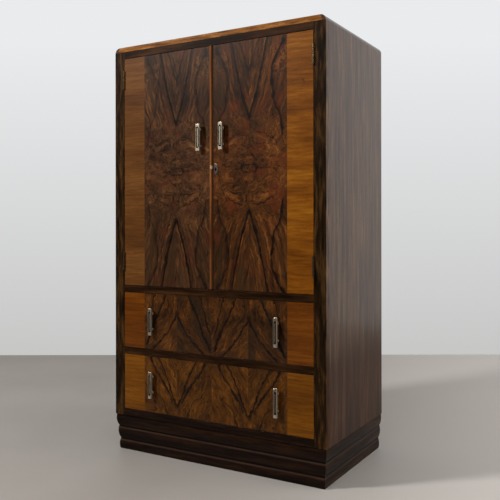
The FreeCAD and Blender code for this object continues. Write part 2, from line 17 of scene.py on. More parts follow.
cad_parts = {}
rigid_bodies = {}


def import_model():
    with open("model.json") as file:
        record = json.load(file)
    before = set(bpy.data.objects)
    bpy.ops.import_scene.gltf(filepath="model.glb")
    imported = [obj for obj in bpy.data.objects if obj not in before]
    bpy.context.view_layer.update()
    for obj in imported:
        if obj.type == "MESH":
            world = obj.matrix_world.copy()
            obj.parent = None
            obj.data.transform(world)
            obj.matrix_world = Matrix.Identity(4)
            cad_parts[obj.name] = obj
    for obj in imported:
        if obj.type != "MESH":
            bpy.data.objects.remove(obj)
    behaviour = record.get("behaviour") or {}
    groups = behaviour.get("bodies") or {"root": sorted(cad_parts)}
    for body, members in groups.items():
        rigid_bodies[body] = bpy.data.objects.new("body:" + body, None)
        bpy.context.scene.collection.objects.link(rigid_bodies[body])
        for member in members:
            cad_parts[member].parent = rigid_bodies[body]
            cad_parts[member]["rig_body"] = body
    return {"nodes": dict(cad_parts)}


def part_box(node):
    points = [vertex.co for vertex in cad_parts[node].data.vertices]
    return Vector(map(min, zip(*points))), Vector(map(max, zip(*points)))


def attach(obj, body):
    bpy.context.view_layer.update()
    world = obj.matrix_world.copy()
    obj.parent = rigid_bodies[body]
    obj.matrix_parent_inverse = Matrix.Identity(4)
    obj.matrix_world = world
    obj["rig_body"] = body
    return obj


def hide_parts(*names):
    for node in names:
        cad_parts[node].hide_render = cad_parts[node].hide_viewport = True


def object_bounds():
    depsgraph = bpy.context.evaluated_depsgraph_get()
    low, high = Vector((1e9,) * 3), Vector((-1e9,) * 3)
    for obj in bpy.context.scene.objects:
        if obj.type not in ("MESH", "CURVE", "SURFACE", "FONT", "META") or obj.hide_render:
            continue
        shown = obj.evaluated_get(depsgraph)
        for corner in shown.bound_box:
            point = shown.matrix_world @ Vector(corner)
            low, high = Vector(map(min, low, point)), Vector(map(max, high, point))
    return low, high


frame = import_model()
CAD_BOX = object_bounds()

LOG = logging.getLogger("tallboy")
HALF_WIDTH = CAD_BOX[1][0]

# Pencil lines of the veneer over the whole range of a noise, times pi.
STRIPES = 46.0
# Height of the burr's middle on both doors.
BURR_HEIGHT = 0.905
# Heights between which the side's finish turns dark and dull, as painted shade for its dimmer reflection near
# the floor, and how dull it gets.
FOOT_FADE = (0.31, 0.47)
FOOT_DULLING = 0.75
# How far inside the object's side the look of an outer side face starts and is full.
FLANK_EDGE = (0.0007, 0.0002)
# Reach of the painted shade in a groove, and of the painted highlight on the rib below it.
GROOVE_SHADE = (0.0008, 0.0045)
HIGHLIGHT_START, HIGHLIGHT_END = (-0.011, -0.005), (-0.005, -0.0015)
# Reach of the dark wear round the keyhole, and of the straight edge of the painted shadow that the meeting
# bead casts on the plate.
STAIN_REACH, BEAD_SHADOW_EDGE = (0.0024, 0.0056), (-0.002, 0.002)
# How wide the broken edges of the meeting bead and of the iron fittings are.
BEAD_EDGE, IRON_EDGE = 0.0004, 0.0003
# Corners closer than this are one, and faces flatter than this, in degrees, are one.
SAME_PLACE, SAME_PLANE = 0.00001, 0.5

Number = Union["Wire", float]
Colour = tuple[float, float, float, float]
Place = tuple[float, float, float]


def srgb(red: int, green: int, blue: int) -> Colour:
    """A colour written as it shows on a screen, made linear.

    Args:
        red: Red, from 0 to 255.
        green: Green, from 0 to 255.
        blue: Blue, from 0 to 255.

    Returns:
        The linear colour with an alpha of 1.
    """
    shares = [channel / 255 for channel in (red, green, blue)]
    linear = [s / 12.92 if s <= 0.04045 else ((s + 0.055) / 1.055) ** 2.4 for s in shares]
    return (linear[0], linear[1], linear[2], 1.0)


class Wire:
    """A number, vector or colour in a material, on which arithmetic adds Math nodes."""

    def __init__(self, paint: "Paint", socket: bpy.types.NodeSocket) -> None:
        """Holds the material's paint and the socket that gives the value."""
        self.paint = paint
        self.socket = socket

    def __add__(self, other: Number) -> "Wire":
        """The sum."""
        return self.paint.maths("ADD", self, other)

    def __radd__(self, other: Number) -> "Wire":
        """The sum, with the number first."""
        return self.paint.maths("ADD", other, self)

    def __sub__(self, other: Number) -> "Wire":
        """The difference."""
        return self.paint.maths("SUBTRACT", self, other)

    def __rsub__(self, other: Number) -> "Wire":
        """The difference, with the number first."""
        return self.paint.maths("SUBTRACT", other, self)

    def __mul__(self, other: Number) -> "Wire":
        """The product."""
        return self.paint.maths("MULTIPLY", self, other)

    def __rmul__(self, other: Number) -> "Wire":
        """The product, with the number first."""
        return self.paint.maths("MULTIPLY", other, self)

    def __truediv__(self, other: Number) -> "Wire":
        """The quotient."""
        return self.paint.maths("DIVIDE", self, other)

    def __abs__(self) -> "Wire":
        """The value without its sign."""
        return self.paint.maths("ABSOLUTE", self)

    def __pow__(self, other: Number) -> "Wire":
        """The power."""
        return self.paint.maths("POWER", self, other)

    def over(self, limit: Number) -> "Wire":
        """One where the value is over the limit, and zero elsewhere."""
        return self.paint.maths("GREATER_THAN", self, limit)

    def least(self, other: Number) -> "Wire":
        """The smaller of two values."""
        return self.paint.maths("MINIMUM", self, other)

    def most(self, other: Number) -> "Wire":
        """The larger of two values."""
        return self.paint.maths("MAXIMUM", self, other)

    def rise(self, low: float, high: float) -> "Wire":
        """A smooth step.

        Args:
            low: Where the step starts to rise from zero.
            high: Where it reaches one.

        Returns:
            The step's value.
        """
        settings = {"interpolation_type": "SMOOTHSTEP"}
        return self.paint.node("ShaderNodeMapRange", settings, {0: self, 1: low, 2: high})

    def fall(self, low: float, high: float) -> "Wire":
        """The reverse of rise: one below low, zero above high."""
        return 1.0 - self.rise(low, high)


class Paint:
    """The node tree of one material or of the world."""

    def __init__(self, tree: bpy.types.NodeTree) -> None:
        """Empties the tree, so that it can be filled."""
        self.tree = tree
        self.tree.nodes.clear()

    @classmethod
    def material(cls, label: str) -> tuple[bpy.types.Material, "Paint"]:
        """A new material and the paint that fills it."""
        made = bpy.data.materials.new(label)
        made.use_nodes = True
        return made, cls(made.node_tree)

    def node(
        self,
        kind: str,
        settings: dict[str, Any] | None = None,
        inputs: dict[int | str, Any] | None = None,
        output: int | str = 0,
    ) -> Wire:
        """Adds one node.

        Args:
            kind: The node's type.
            settings: What is set on the node first; stops are a ramp's, points a curve's.
            inputs: The values or links of its sockets, by number or name.
            output: The socket that is wanted.

        Returns:
            The wire from that socket.
        """
        made = self.tree.nodes.new(kind)
        for name, value in (settings or {}).items():
            if name == "stops":
                self._set_stops(made.color_ramp, value)
            elif name == "points":
                self._set_points(made.mapping, value)
            else:
                setattr(made, name, value)
        for name, value in (inputs or {}).items():
            if isinstance(value, Wire):
                self.tree.links.new(value.socket, made.inputs[name])
            else:
                made.inputs[name].default_value = value
        if not made.outputs:
            return Wire(self, None)
        return Wire(self, made.outputs[output])

    @staticmethod
    def _set_stops(ramp: bpy.types.ColorRamp, stops: Sequence[tuple[float, Colour]]) -> None:
        """Gives a ramp its stops, each a place and a colour."""
        while len(ramp.elements) < len(stops):
            ramp.elements.new(1.0)
        for element, (place, colour) in zip(ramp.elements, stops):
            element.position = place
            element.color = colour

    @staticmethod
    def _set_points(mapping: bpy.types.CurveMapping, points: Sequence[tuple[float, float]]) -> None:
        """Gives a curve its points, each from 0 to 1 along and up."""
        curve = mapping.curves[0]
        while len(curve.points) < len(points):
            curve.points.new(0.5, 0.5)
        for point, place in zip(curve.points, sorted(points)):
            point.location = place
        mapping.update()

    def maths(self, operation: str, *values: Number) -> Wire:
        """One Math node on numbers or wires."""
        return self.node("ShaderNodeMath", {"operation": operation}, dict(enumerate(values)))

    def place(self) -> tuple[Wire, Wire, Wire]:
        """The X, Y and Z of the shaded point in the piece's own frame."""
        point = self.node("ShaderNodeTexCoord", output="Object")
        return self.split(point)

    def split(self, vector: Wire) -> tuple[Wire, Wire, Wire]:
        """A vector's three numbers."""
        first = self.node("ShaderNodeSeparateXYZ", inputs={0: vector})
        outputs = first.socket.node.outputs
        return first, Wire(self, outputs[1]), Wire(self, outputs[2])

    def join(self, x: Number, y: Number, z: Number) -> Wire:
        """A vector from three numbers."""
        return self.node("ShaderNodeCombineXYZ", inputs={0: x, 1: y, 2: z})

    def noise(
        self, x: Number, y: Number, z: Number, detail: float = 2.0, roughness: float = 0.5, twist: float = 0.0
    ) -> Wire:
        """Smooth noise over a place that is already scaled.

        Args:
            x: The place along the first axis, in periods of the noise, as y and z are on theirs.
            y: The place along the second axis.
            z: The place along the third axis.
            detail: How many finer layers are added.
            roughness: How strong the finer layers are.
            twist: How far the noise distorts itself.

        Returns:
            The noise, about 0 to 1.
        """
        layers = {"Detail": detail, "Roughness": roughness, "Distortion": twist}
        inputs = {"Vector": self.join(x, y, z), "Scale": 1.0, **layers}
        return self.node("ShaderNodeTexNoise", inputs=inputs)

    def cells(self, x: Number, y: Number, z: Number) -> Wire:
        """The distance to the nearest of scattered points, over a place that is already scaled."""
        inputs = {"Vector": self.join(x, y, z), "Scale": 1.0, "Randomness": 1.0}
        return self.node("ShaderNodeTexVoronoi", inputs=inputs)

    def stripes(self, value: Wire) -> Wire:
        """Thin lines wherever a slowly changing value passes a multiple of the lines' step."""
        return abs(self.maths("SINE", value * STRIPES)).fall(0.04, 0.34)

    def ramp(self, value: Number, stops: Sequence[tuple[float, Colour]]) -> Wire:
        """A colour looked up along a row of stops."""
        return self.node("ShaderNodeValToRGB", {"stops": stops}, {0: value})

    def curve(self, value: Number, points: Sequence[tuple[float, float]]) -> Wire:
        """A number looked up on a smooth curve.

        Args:
            value: The place along the curve.
            points: Places and heights that the curve passes through.

        Returns:
            The height at that place, held level past both ends.
        """
        lows = [min(axis) for axis in zip(*points)]
        spans = [max(axis) - low for axis, low in zip(zip(*points), lows)]
        shares = [[(at - low) / span for at, low, span in zip(point, lows, spans)] for point in points]
        along = self.node("ShaderNodeMapRange", inputs={0: value, 1: lows[0], 2: lows[0] + spans[0]})
        share = self.node("ShaderNodeFloatCurve", {"points": shares}, {1: along})
        return share * spans[1] + lows[1]

    def blend(self, share: Number, first: Wire | Colour, second: Wire | Colour, kind: str = "MIX") -> Wire:
        """Two colours mixed.

        Args:
            share: How much of the second colour shows, from 0 to 1.
            first: The colour below.
            second: The colour above.
            kind: How they mix.

        Returns:
            The mixed colour.
        """
        settings = {"data_type": "RGBA", "blend_type": kind}
        return self.node("ShaderNodeMix", settings, {0: share, 6: first, 7: second}, 2)

    def bump(self, height: Wire, distance: float) -> Wire:
        """A normal that follows a height between 0 and 1, whose depth is given in metres."""
        inputs = {"Strength": 1.0, "Distance": distance, "Height": height}
        return self.node("ShaderNodeBump", inputs=inputs)

    def surface(self, **sockets: Any) -> None:
        """Ends the tree in a Principled surface.

        Args:
            **sockets: The values of its sockets, by label, with underscores for spaces.
        """
        inputs = {name.replace("_", " "): value for name, value in sockets.items()}
        shader = self.node("ShaderNodeBsdfPrincipled", inputs=inputs)
        self.node("ShaderNodeOutputMaterial", inputs={"Surface": shader})


class Finish:
    """What a piece's surface is made of. Each finish fills its own material once."""

    label: str

    def paint(self, paint: Paint) -> None:
        """Fills the material's node tree."""
        raise NotImplementedError

    def material(self) -> bpy.types.Material:
        """The finish's material, made on first use."""
        found = bpy.data.materials.get(self.label)
        if found:
            return found
        made, paint = Paint.material(self.label)
        self.paint(paint)
        return made


class Grain(Enum):
    """The axis that the wood's fibres run along."""

    ACROSS = 0
    INWARD = 1
    UP = 2


@dataclass(frozen=True)
class Polish:
    """How wood shines, and how deep its grain is felt, in metres."""

    roughness: float
    specular: float
    coat: float
    coat_roughness: float
    relief: float

    def lay(self, paint: Paint, colour: Wire, uneven: Wire, height: Wire, coat: Number | None = None) -> None:
        """Ends a material in this polish.

        Args:
            paint: The material.
            colour: The colour of the wood.
            uneven: How far the roughness strays.
            height: The relief, between 0 and 1.
            coat: The coat's weight, where it isn't the polish's own.
        """
        paint.surface(
            Base_Color=colour,
            Roughness=self.roughness + uneven,
            Specular_IOR_Level=self.specular,
            Coat_Weight=self.coat if coat is None else coat,
            Coat_Roughness=self.coat_roughness,
            Normal=paint.bump(height, self.relief),
        )


@dataclass(frozen=True)
class Mark:
    """A small flaw in the wood: the dark hook of a pin knot, or a pale chip."""

    x: float
    z: float
    size: float
    tone: Colour
    share: float = 0.75
    hooked: bool = False

    def draw(self, paint: Paint, colour: Wire, x: Wire, z: Wire, fibres: Wire) -> Wire:
        """Draws the mark over a colour.

        Args:
            paint: The material.
            colour: The colour below.
            x: Place across the object.
            z: Height on the object.
            fibres: Fine grain that makes the mark's edge uneven.

        Returns:
            The colour with the mark.
        """
        beside, above = x - self.x, (z - self.z) * 0.55
        reach = (beside * beside + above * above) ** 0.5 + (fibres - 0.5) * (self.size * 1.5)
        if self.hooked:
            line = abs(reach - self.size).fall(self.size * 0.15, self.size * 0.8)
            shown = line * (beside + above).rise(-self.size * 0.75, self.size * 0.5)
        else:
            shown = reach.fall(self.size * 0.5, self.size)
        return paint.blend(shown * self.share, colour, self.tone)


@dataclass(frozen=True)
class Timber(Finish):
    """Straight-grained wood, solid or veneer.

    Attributes:
        label: The material's name.
        grain: The axis that the fibres run along.
        dark: The colour of its darkest lines.
        middle: Its middle colour.
        light: The colour of its palest lines.
        polish: How it shines.
        ribbon: Ribbons of tone to the metre.
        fibre: Fibres to the metre.
        stretch: How many times longer the grain is than it is wide.
        wander: How far the grain strays, in metres.
        contrast: How strong the ribbons are.
        fibre_share: How strong the fibres are.
        pores: How dark the pores are.
        seed: What makes one wood's grain differ from another's.
        foot: What the colour is multiplied by near the floor, as painted shade.
        flank: The wood that the piece's outer side faces look like.
        side_shade: Where painted shade starts and where it is full, across the object.
        marks: Small flaws.
        grooves: Heights of grooves, with painted shade inside and a painted highlight just below.
        rib_highlight: The colour of the painted highlight.
    """

    label: str
    grain: Grain
    dark: Colour
    middle: Colour
    light: Colour
    polish: Polish
    ribbon: float = 14.0
    fibre: float = 220.0
    stretch: float = 18.0
    wander: float = 0.004
    contrast: float = 1.0
    fibre_share: float = 0.75
    pores: float = 0.35
    seed: float = 0.0
    foot: Colour | None = None
    flank: "Timber | None" = None
    side_shade: tuple[float, float] | None = None
    marks: tuple[Mark, ...] = ()
    grooves: tuple[float, ...] = ()
    rib_highlight: Colour = srgb(68, 50, 41)

    def paint(self, paint: Paint) -> None:
        """Ribbons of tone, fine fibres and short dark pores, all drawn out along the grain."""
        x, y, z = paint.place()
        axes = [x, y, z]
        along = axes.pop(self.grain.value)
        drift = paint.noise(along * 3.0, axes[0] * 6.0, axes[1] * 6.0 + self.seed) - 0.5
        first = axes[0] + drift * self.wander
        second = axes[1] + drift * self.wander
        lie = along / self.stretch
        ribbons = self._layer(paint, first, second, lie, self.ribbon, 3.0)
        fibres = self._layer(paint, first, second, lie, self.fibre, 3.0)
        tone = (ribbons - 0.5) * (1.5 * self.contrast) + (fibres - 0.5) * self.fibre_share + 0.5
        colour = self._ramp(paint, tone)
        pits = self._layer(paint, first, second, lie * 2.0, self.fibre * 2.2, 1.0).rise(0.56, 0.7)
        colour = paint.blend(pits * self.pores, colour, self.dark)
        # Painted shade towards the floor, where the finish has a foot colour.
        colour, coat = self._shaded_foot(paint, colour, z)
        if self.flank:
            outer = abs(x).rise(*(HALF_WIDTH - inset for inset in FLANK_EDGE))
            side, side_coat = self.flank._shaded_foot(paint, self.flank._ramp(paint, tone), z)
            colour = paint.blend(outer, colour, side)
            coat = outer * (side_coat - coat) + coat
        # Painted shade down one side, away from the light.
        if self.side_shade:
            colour = paint.blend(x.rise(*self.side_shade) * 0.8, colour, self.dark)
        for mark in self.marks:
            colour = mark.draw(paint, colour, x, z, fibres)
        # Painted shade inside each groove, and a painted highlight along the top of the rib below it.
        for groove in self.grooves:
            above = z - groove
            overlay = above.rise(*HIGHLIGHT_START) * above.fall(*HIGHLIGHT_END)
            colour = paint.blend(overlay * (fibres * 0.8 + 0.3), colour, self.rib_highlight)
            colour = paint.blend(abs(above).fall(*GROOVE_SHADE) * 0.85, colour, self.dark)
        self.polish.lay(paint, colour, (fibres - 0.5) * 0.12, fibres - pits * 0.6, coat)

    def _ramp(self, paint: Paint, tone: Wire) -> Wire:
        """The wood's colour at a tone from 0 to 1."""
        return paint.ramp(tone, [(0.12, self.dark), (0.5, self.middle), (0.88, self.light)])

    def _shaded_foot(self, paint: Paint, colour: Wire, z: Wire) -> tuple[Wire, Number]:
        """Darkens a colour as painted shade and dulls the coat towards the floor, where the finish has a foot
        colour.

        Args:
            paint: The material.
            colour: The colour of clean wood.
            z: Height on the object.

        Returns:
            The colour and the coat's weight.
        """
        if not self.foot:
            return colour, self.polish.coat
        low = z.fall(*FOOT_FADE)
        return paint.blend(low, colour, self.foot, "MULTIPLY"), (1.0 - low * FOOT_DULLING) * self.polish.coat

    def _layer(self, paint: Paint, first: Wire, second: Wire, lie: Wire, count: float, detail: float) -> Wire:
        """One layer of grain.

        Args:
            paint: The material.
            first: Place across the grain.
            second: The other place across the grain.
            lie: Place along the grain, already drawn out.
            count: Lines to the metre across the grain.
            detail: How many finer layers it holds.

        Returns:
            The layer's tone, about 0 to 1.
        """
        return paint.noise(first * count, second * count, lie * count + self.seed, detail=detail)


@dataclass(frozen=True)
class BurrTones:
    """The colours of figured walnut."""

    vein: Colour = srgb(16, 8, 4)
    dark: Colour = srgb(34, 19, 9)
    shade: Colour = srgb(53, 29, 11)
    middle: Colour = srgb(73, 41, 15)
    light: Colour = srgb(97, 56, 22)
    bright: Colour = srgb(128, 76, 32)
    red: Colour = srgb(92, 40, 16)
    ember: Colour = srgb(128, 68, 26)
    grey: Colour = srgb(50, 34, 18)

    def ramp(self, paint: Paint, tone: Wire) -> Wire:
        """The plain grain's colour at a tone from 0 to 1."""
        colours = (self.dark, self.shade, self.middle, self.light, self.bright)
        return paint.ramp(tone, list(zip((0.1, 0.34, 0.56, 0.8, 1.0), colours)))


PLUM_TONES = BurrTones(
    shade=srgb(51, 31, 17),
    middle=srgb(70, 43, 23),
    light=srgb(91, 58, 32),
    bright=srgb(118, 76, 42),
    red=srgb(80, 39, 22),
    ember=srgb(108, 62, 32),
    grey=srgb(51, 34, 19),
)
GOLDEN_TONES = BurrTones(
    vein=srgb(18, 8, 2),
    dark=srgb(34, 16, 3),
    shade=srgb(54, 29, 5),
    middle=srgb(75, 42, 8),
    light=srgb(98, 57, 13),
    bright=srgb(124, 76, 22),
    grey=srgb(40, 28, 14),
)
DUSKY_TONES = BurrTones(
    vein=srgb(16, 7, 3),
    dark=srgb(30, 15, 5),
    shade=srgb(47, 26, 9),
    middle=srgb(66, 37, 12),
    light=srgb(92, 53, 18),
    bright=srgb(120, 72, 28),
    grey=srgb(41, 29, 17),
)


@dataclass(frozen=True)
class Vein:
    """A dark line of the figure, given as its distance from the leaf joint at rising heights."""

    places: tuple[tuple[float, float], ...]
    width: float = 0.0045
    depth: float = 0.95
    halo: float = 0.018
    halo_depth: float = 0.55

    def draw(
        self,
        paint: Paint,
        colour: Wire,
        u: Wire,
        v: Wire,
        tremble: Wire,
        tones: BurrTones,
        share: Number = 1.0,
    ) -> Wire:
        """Draws the vein with a soft shade on its outer side.

        Args:
            paint: The material.
            colour: The colour below.
            u: Distance from the leaf joint that the vein is measured from.
            v: Height that the vein is measured at.
            tremble: Fine noise that breaks the line up.
            tones: The colours of the wood.
            share: How much of the vein shows.

        Returns:
            The colour with the vein.
        """
        low, high = self.places[0][0], self.places[-1][0]
        away = u - paint.curve(v, self.places)
        swollen = paint.noise(u * 32.0, v * 30.0, self.width * 900.0).rise(0.44, 0.66)
        present = v.rise(low - 0.012, low + 0.006) * v.fall(high + 0.002, high + 0.02) * share
        present = present * (0.85 + swollen * 0.15)
        thin = abs(away) + tremble * (self.width * 1.7) - swollen * (self.width * 0.6)
        line = thin.fall(self.width * 0.3, self.width)
        haze = away.rise(-self.width, 0.0) * away.fall(self.width, self.halo)
        colour = paint.blend(haze * present * self.halo_depth, colour, tones.dark)
        return paint.blend(line * present * (self.depth + tremble * 0.6), colour, tones.vein)


@dataclass(frozen=True)
class Stroke:
    """A short straight mark in the burr, with its two ends as distances from both leaf joints."""

    start: tuple[float, float]
    end: tuple[float, float]
    width: float
    ring: float = 0.0

    def mask(self, paint: Paint, spot: Wire) -> Wire:
        """Where the stroke shows.

        Args:
            paint: The material.
            spot: The place on the leaf, as a vector.

        Returns:
            One on the stroke, fading to zero at its width.
        """
        start, end = Vector((*self.start, 0.0)), Vector((*self.end, 0.0))
        run = end - start
        kind = "ShaderNodeVectorMath"
        offset = paint.node(kind, {"operation": "SUBTRACT"}, {0: spot, 1: start})
        scaled = run / run.length_squared
        along = paint.node(kind, {"operation": "DOT_PRODUCT"}, {0: offset, 1: scaled}, "Value")
        foot = paint.node(kind, {"operation": "SCALE"}, {0: run, "Scale": along.most(0.0).least(1.0)})
        reach = paint.node(kind, {"operation": "DISTANCE"}, {0: offset, 1: foot}, "Value")
        return (abs(reach - self.ring) if self.ring else reach).fall(0.0, self.width)


@dataclass(frozen=True)
class DoorFigure(Finish):
    """Quarter-matched walnut on a door: dark veins that run out from a burr at half height."""

    label: str
    centre: float
    middle: float
    tones: BurrTones
    polish: Polish = Polish(roughness=0.4, specular=0.06, coat=0.1, coat_roughness=0.14, relief=0.0001)
    seed: float = 0.0
    warmth: float = 0.0
    smoke: float = 0.75
    lift: float = 0.0
    outer_shares: tuple[float, float] = (0.5, 0.6)
    main: Vein = Vein(
        ((0.150, 0.0), (0.205, 0.019), (0.275, 0.038), (0.350, 0.054), (0.385, 0.062)), depth=1.0
    )
    outer: Vein = Vein((
        (0.095, 0.112), (0.150, 0.100), (0.183, 0.084), (0.225, 0.078),
        (0.275, 0.075), (0.315, 0.088), (0.36, 0.114),
    ))
    inner: Vein = Vein(
        ((0.285, 0.0), (0.325, 0.014), (0.385, 0.034)), width=0.003, depth=0.75, halo=0.010, halo_depth=0.2
    )
    light_strokes: tuple[Stroke, ...] = (
        Stroke((0.032, 0.094), (0.064, 0.080), 0.0050),
        Stroke((0.019, 0.092), (0.019, 0.080), 0.0042),
        Stroke((0.088, 0.084), (0.082, 0.072), 0.0060),
        Stroke((0.0, 0.031), (0.008, 0.031), 0.0080),
        Stroke((0.100, 0.092), (0.122, 0.106), 0.0045),
        Stroke((0.058, 0.030), (0.076, 0.024), 0.0040),
        Stroke((0.034, 0.052), (0.050, 0.060), 0.0045),
    )
    dark_strokes: tuple[Stroke, ...] = (
        Stroke((0.026, 0.107), (0.050, 0.100), 0.0036),
        Stroke((0.050, 0.100), (0.076, 0.084), 0.0036),
        Stroke((0.026, 0.072), (0.064, 0.070), 0.0026),
        Stroke((0.006, 0.0), (0.014, 0.0), 0.0040, ring=0.0108),
        Stroke((0.024, 0.0), (0.050, 0.001), 0.0030),
        Stroke((0.0, 0.044), (0.010, 0.042), 0.0034),
        Stroke((0.010, 0.042), (0.024, 0.024), 0.0036),
        Stroke((0.010, 0.096), (0.012, 0.078), 0.0028),
        Stroke((0.078, 0.092), (0.092, 0.070), 0.0028),
    )

    def paint(self, paint: Paint) -> None:
        """Lays the mirrored leaves, their burr and their veins over one another."""
        x, _, z = paint.place()
        # Places on a leaf, mirrored about both joints.
        across = x - self.centre
        level = z - self.middle
        u, v = abs(across), abs(level)
        right, above = across.over(0.0), level.over(0.0)
        leaf = right * 0.35 + above * 0.22 + self.seed
        # The run of the grain, and how it loosens in the burr.
        wave = paint.noise(u * 16.0, v * 9.0, leaf) - 0.5
        swell = paint.noise(u * 13.0 + 7.0, v * 13.0, leaf) - 0.5
        tremble = paint.noise(u * 60.0, v * 55.0, leaf + 3.0) - 0.5
        burr = (v + swell * 0.07 + tremble * 0.02).fall(0.085, 0.165)
        loose = burr * 0.035 + 0.010
        height = v + wave * 0.02
        lifted = height + (1.0 - above) * self.lift
        run = paint.curve(lifted, ((0.0, 0.0),) + self.main.places)
        lean = u + wave * 0.014 + tremble * 0.008
        flow = lean - run
        grain = flow + (swell + tremble * 0.5) * loose
        drawn = v * (1.0 + burr * 5.0)
        # Layers of the figure, from wide to fine.
        patches = paint.noise(u * 11.0, v * 7.0, leaf * 4.0 + 11.0)
        patchy = paint.noise(u * 24.0, v * 16.0, leaf * 4.0 + 51.0).rise(0.36, 0.62)
        streaks = paint.noise(grain * 105.0, drawn * 8.0, leaf * 3.0, detail=4.0, roughness=0.65)
        flecks = paint.noise(grain * 150.0, drawn * 34.0, leaf * 3.0 + 81.0, detail=2.0, roughness=0.6)
        fibres = paint.noise(grain * 330.0, drawn * 26.0, leaf * 3.0, detail=3.0, roughness=0.6)
        curls = paint.noise(u * 23.0, v * 28.0, leaf * 2.0 + 5.0, detail=1.6, roughness=0.45, twist=1.0)
        rings = abs(paint.maths("SINE", curls * 28.0))
        layers = paint.noise(grain * 30.0, drawn * 3.0, leaf * 3.0 + 41.0, detail=1.0)
        pencil = (paint.stripes(layers) * (1.0 - burr) + rings.fall(0.02, 0.3) * burr * 0.3) * patchy
        seam = u.least(v).fall(0.0002, 0.0006)
        knots = (curls * 0.75 + rings * 0.25) * burr + streaks * (1.0 - burr)
        eyes = paint.cells(u * 62.0 + tremble, v * 62.0, leaf * 6.0) * burr
        tone = (knots - 0.5) * (1.85 - burr * 0.45) + (fibres - 0.5) * (0.7 - burr * 0.5)
        tone = tone + (eyes - 0.5) * burr * 0.2 + 0.5 - burr * 0.06 + (flecks - 0.5) * (0.9 - burr * 0.75)
        tone = tone + (patches - 0.5) * 0.8 + right * 0.05 + level.fall(-0.3, -0.1) * 0.06 - 0.02
        tones = self.tones
        colour = tones.ramp(paint, tone)
        # Colours over the plain grain.
        swirls = paint.noise(u * 60.0, v * 75.0, leaf * 5.0 + 61.0, twist=1.0).rise(0.46, 0.62)
        embers = swirls * u.rise(0.045, 0.07) * v.fall(0.03, 0.055)
        rust = (paint.noise(u * 17.0, v * 13.0, leaf * 5.0 + 21.0) + burr * 0.04).rise(0.5, 0.72)
        colour = paint.blend(rust * (0.45 + self.warmth), colour, tones.red)
        colour = paint.blend(embers * 0.35, colour, tones.ember)
        sunny = swirls * u.rise(0.06, 0.09) * v.rise(0.25, 0.3) * v.fall(0.33, 0.37) * above
        colour = paint.blend(sunny * 0.6, colour, tones.bright)
        smoke = paint.noise(grain * 22.0, v * 4.0, leaf * 2.0 + 31.0).rise(0.42, 0.66)
        smoke = smoke * (1.0 - above * flow.fall(-0.012, 0.0) * 0.75)
        colour = paint.blend(smoke * (self.smoke - right * 0.3) * (1.0 - burr * 0.5), colour, tones.grey)
        colour = paint.blend(pencil * 0.6, colour, tones.vein)
        # Strokes of the burr, veins and the joint between the leaves.
        stir = paint.noise(u * 85.0, v * 85.0, leaf + 71.0) - 0.5
        colour = self._marks(paint, colour, u + tremble * 0.014, v + stir * 0.014, 0.5 + patchy * 0.5)
        edge, other = self.outer_shares
        shares = (1.0, edge + right * (other - edge), above * 0.9)
        levels = (lifted, height, height)
        for vein, share, reach in zip((self.main, self.outer, self.inner), shares, levels):
            colour = vein.draw(paint, colour, lean, reach, tremble, tones, share)
        colour = paint.blend(seam * 0.45, colour, tones.vein)
        self.polish.lay(paint, colour, (fibres - 0.5) * 0.14, fibres * 0.6 + knots * 0.4)

    def _marks(self, paint: Paint, colour: Wire, u: Wire, v: Wire, share: Wire) -> Wire:
        """Draws the strokes of the burr.

        Args:
            paint: The material.
            colour: The colour below.
            u: Distance from the upright joint.
            v: Distance from the level joint.
            share: How much of the strokes shows.

        Returns:
            The colour with the strokes.
        """
        spot = paint.join(u, v, 0.0)
        for stroke in self.dark_strokes:
            colour = paint.blend(stroke.mask(paint, spot) * share * 0.85, colour, self.tones.vein)
        for stroke in self.light_strokes:
            colour = paint.blend(stroke.mask(paint, spot) * share * 0.4, colour, self.tones.bright)
        return colour


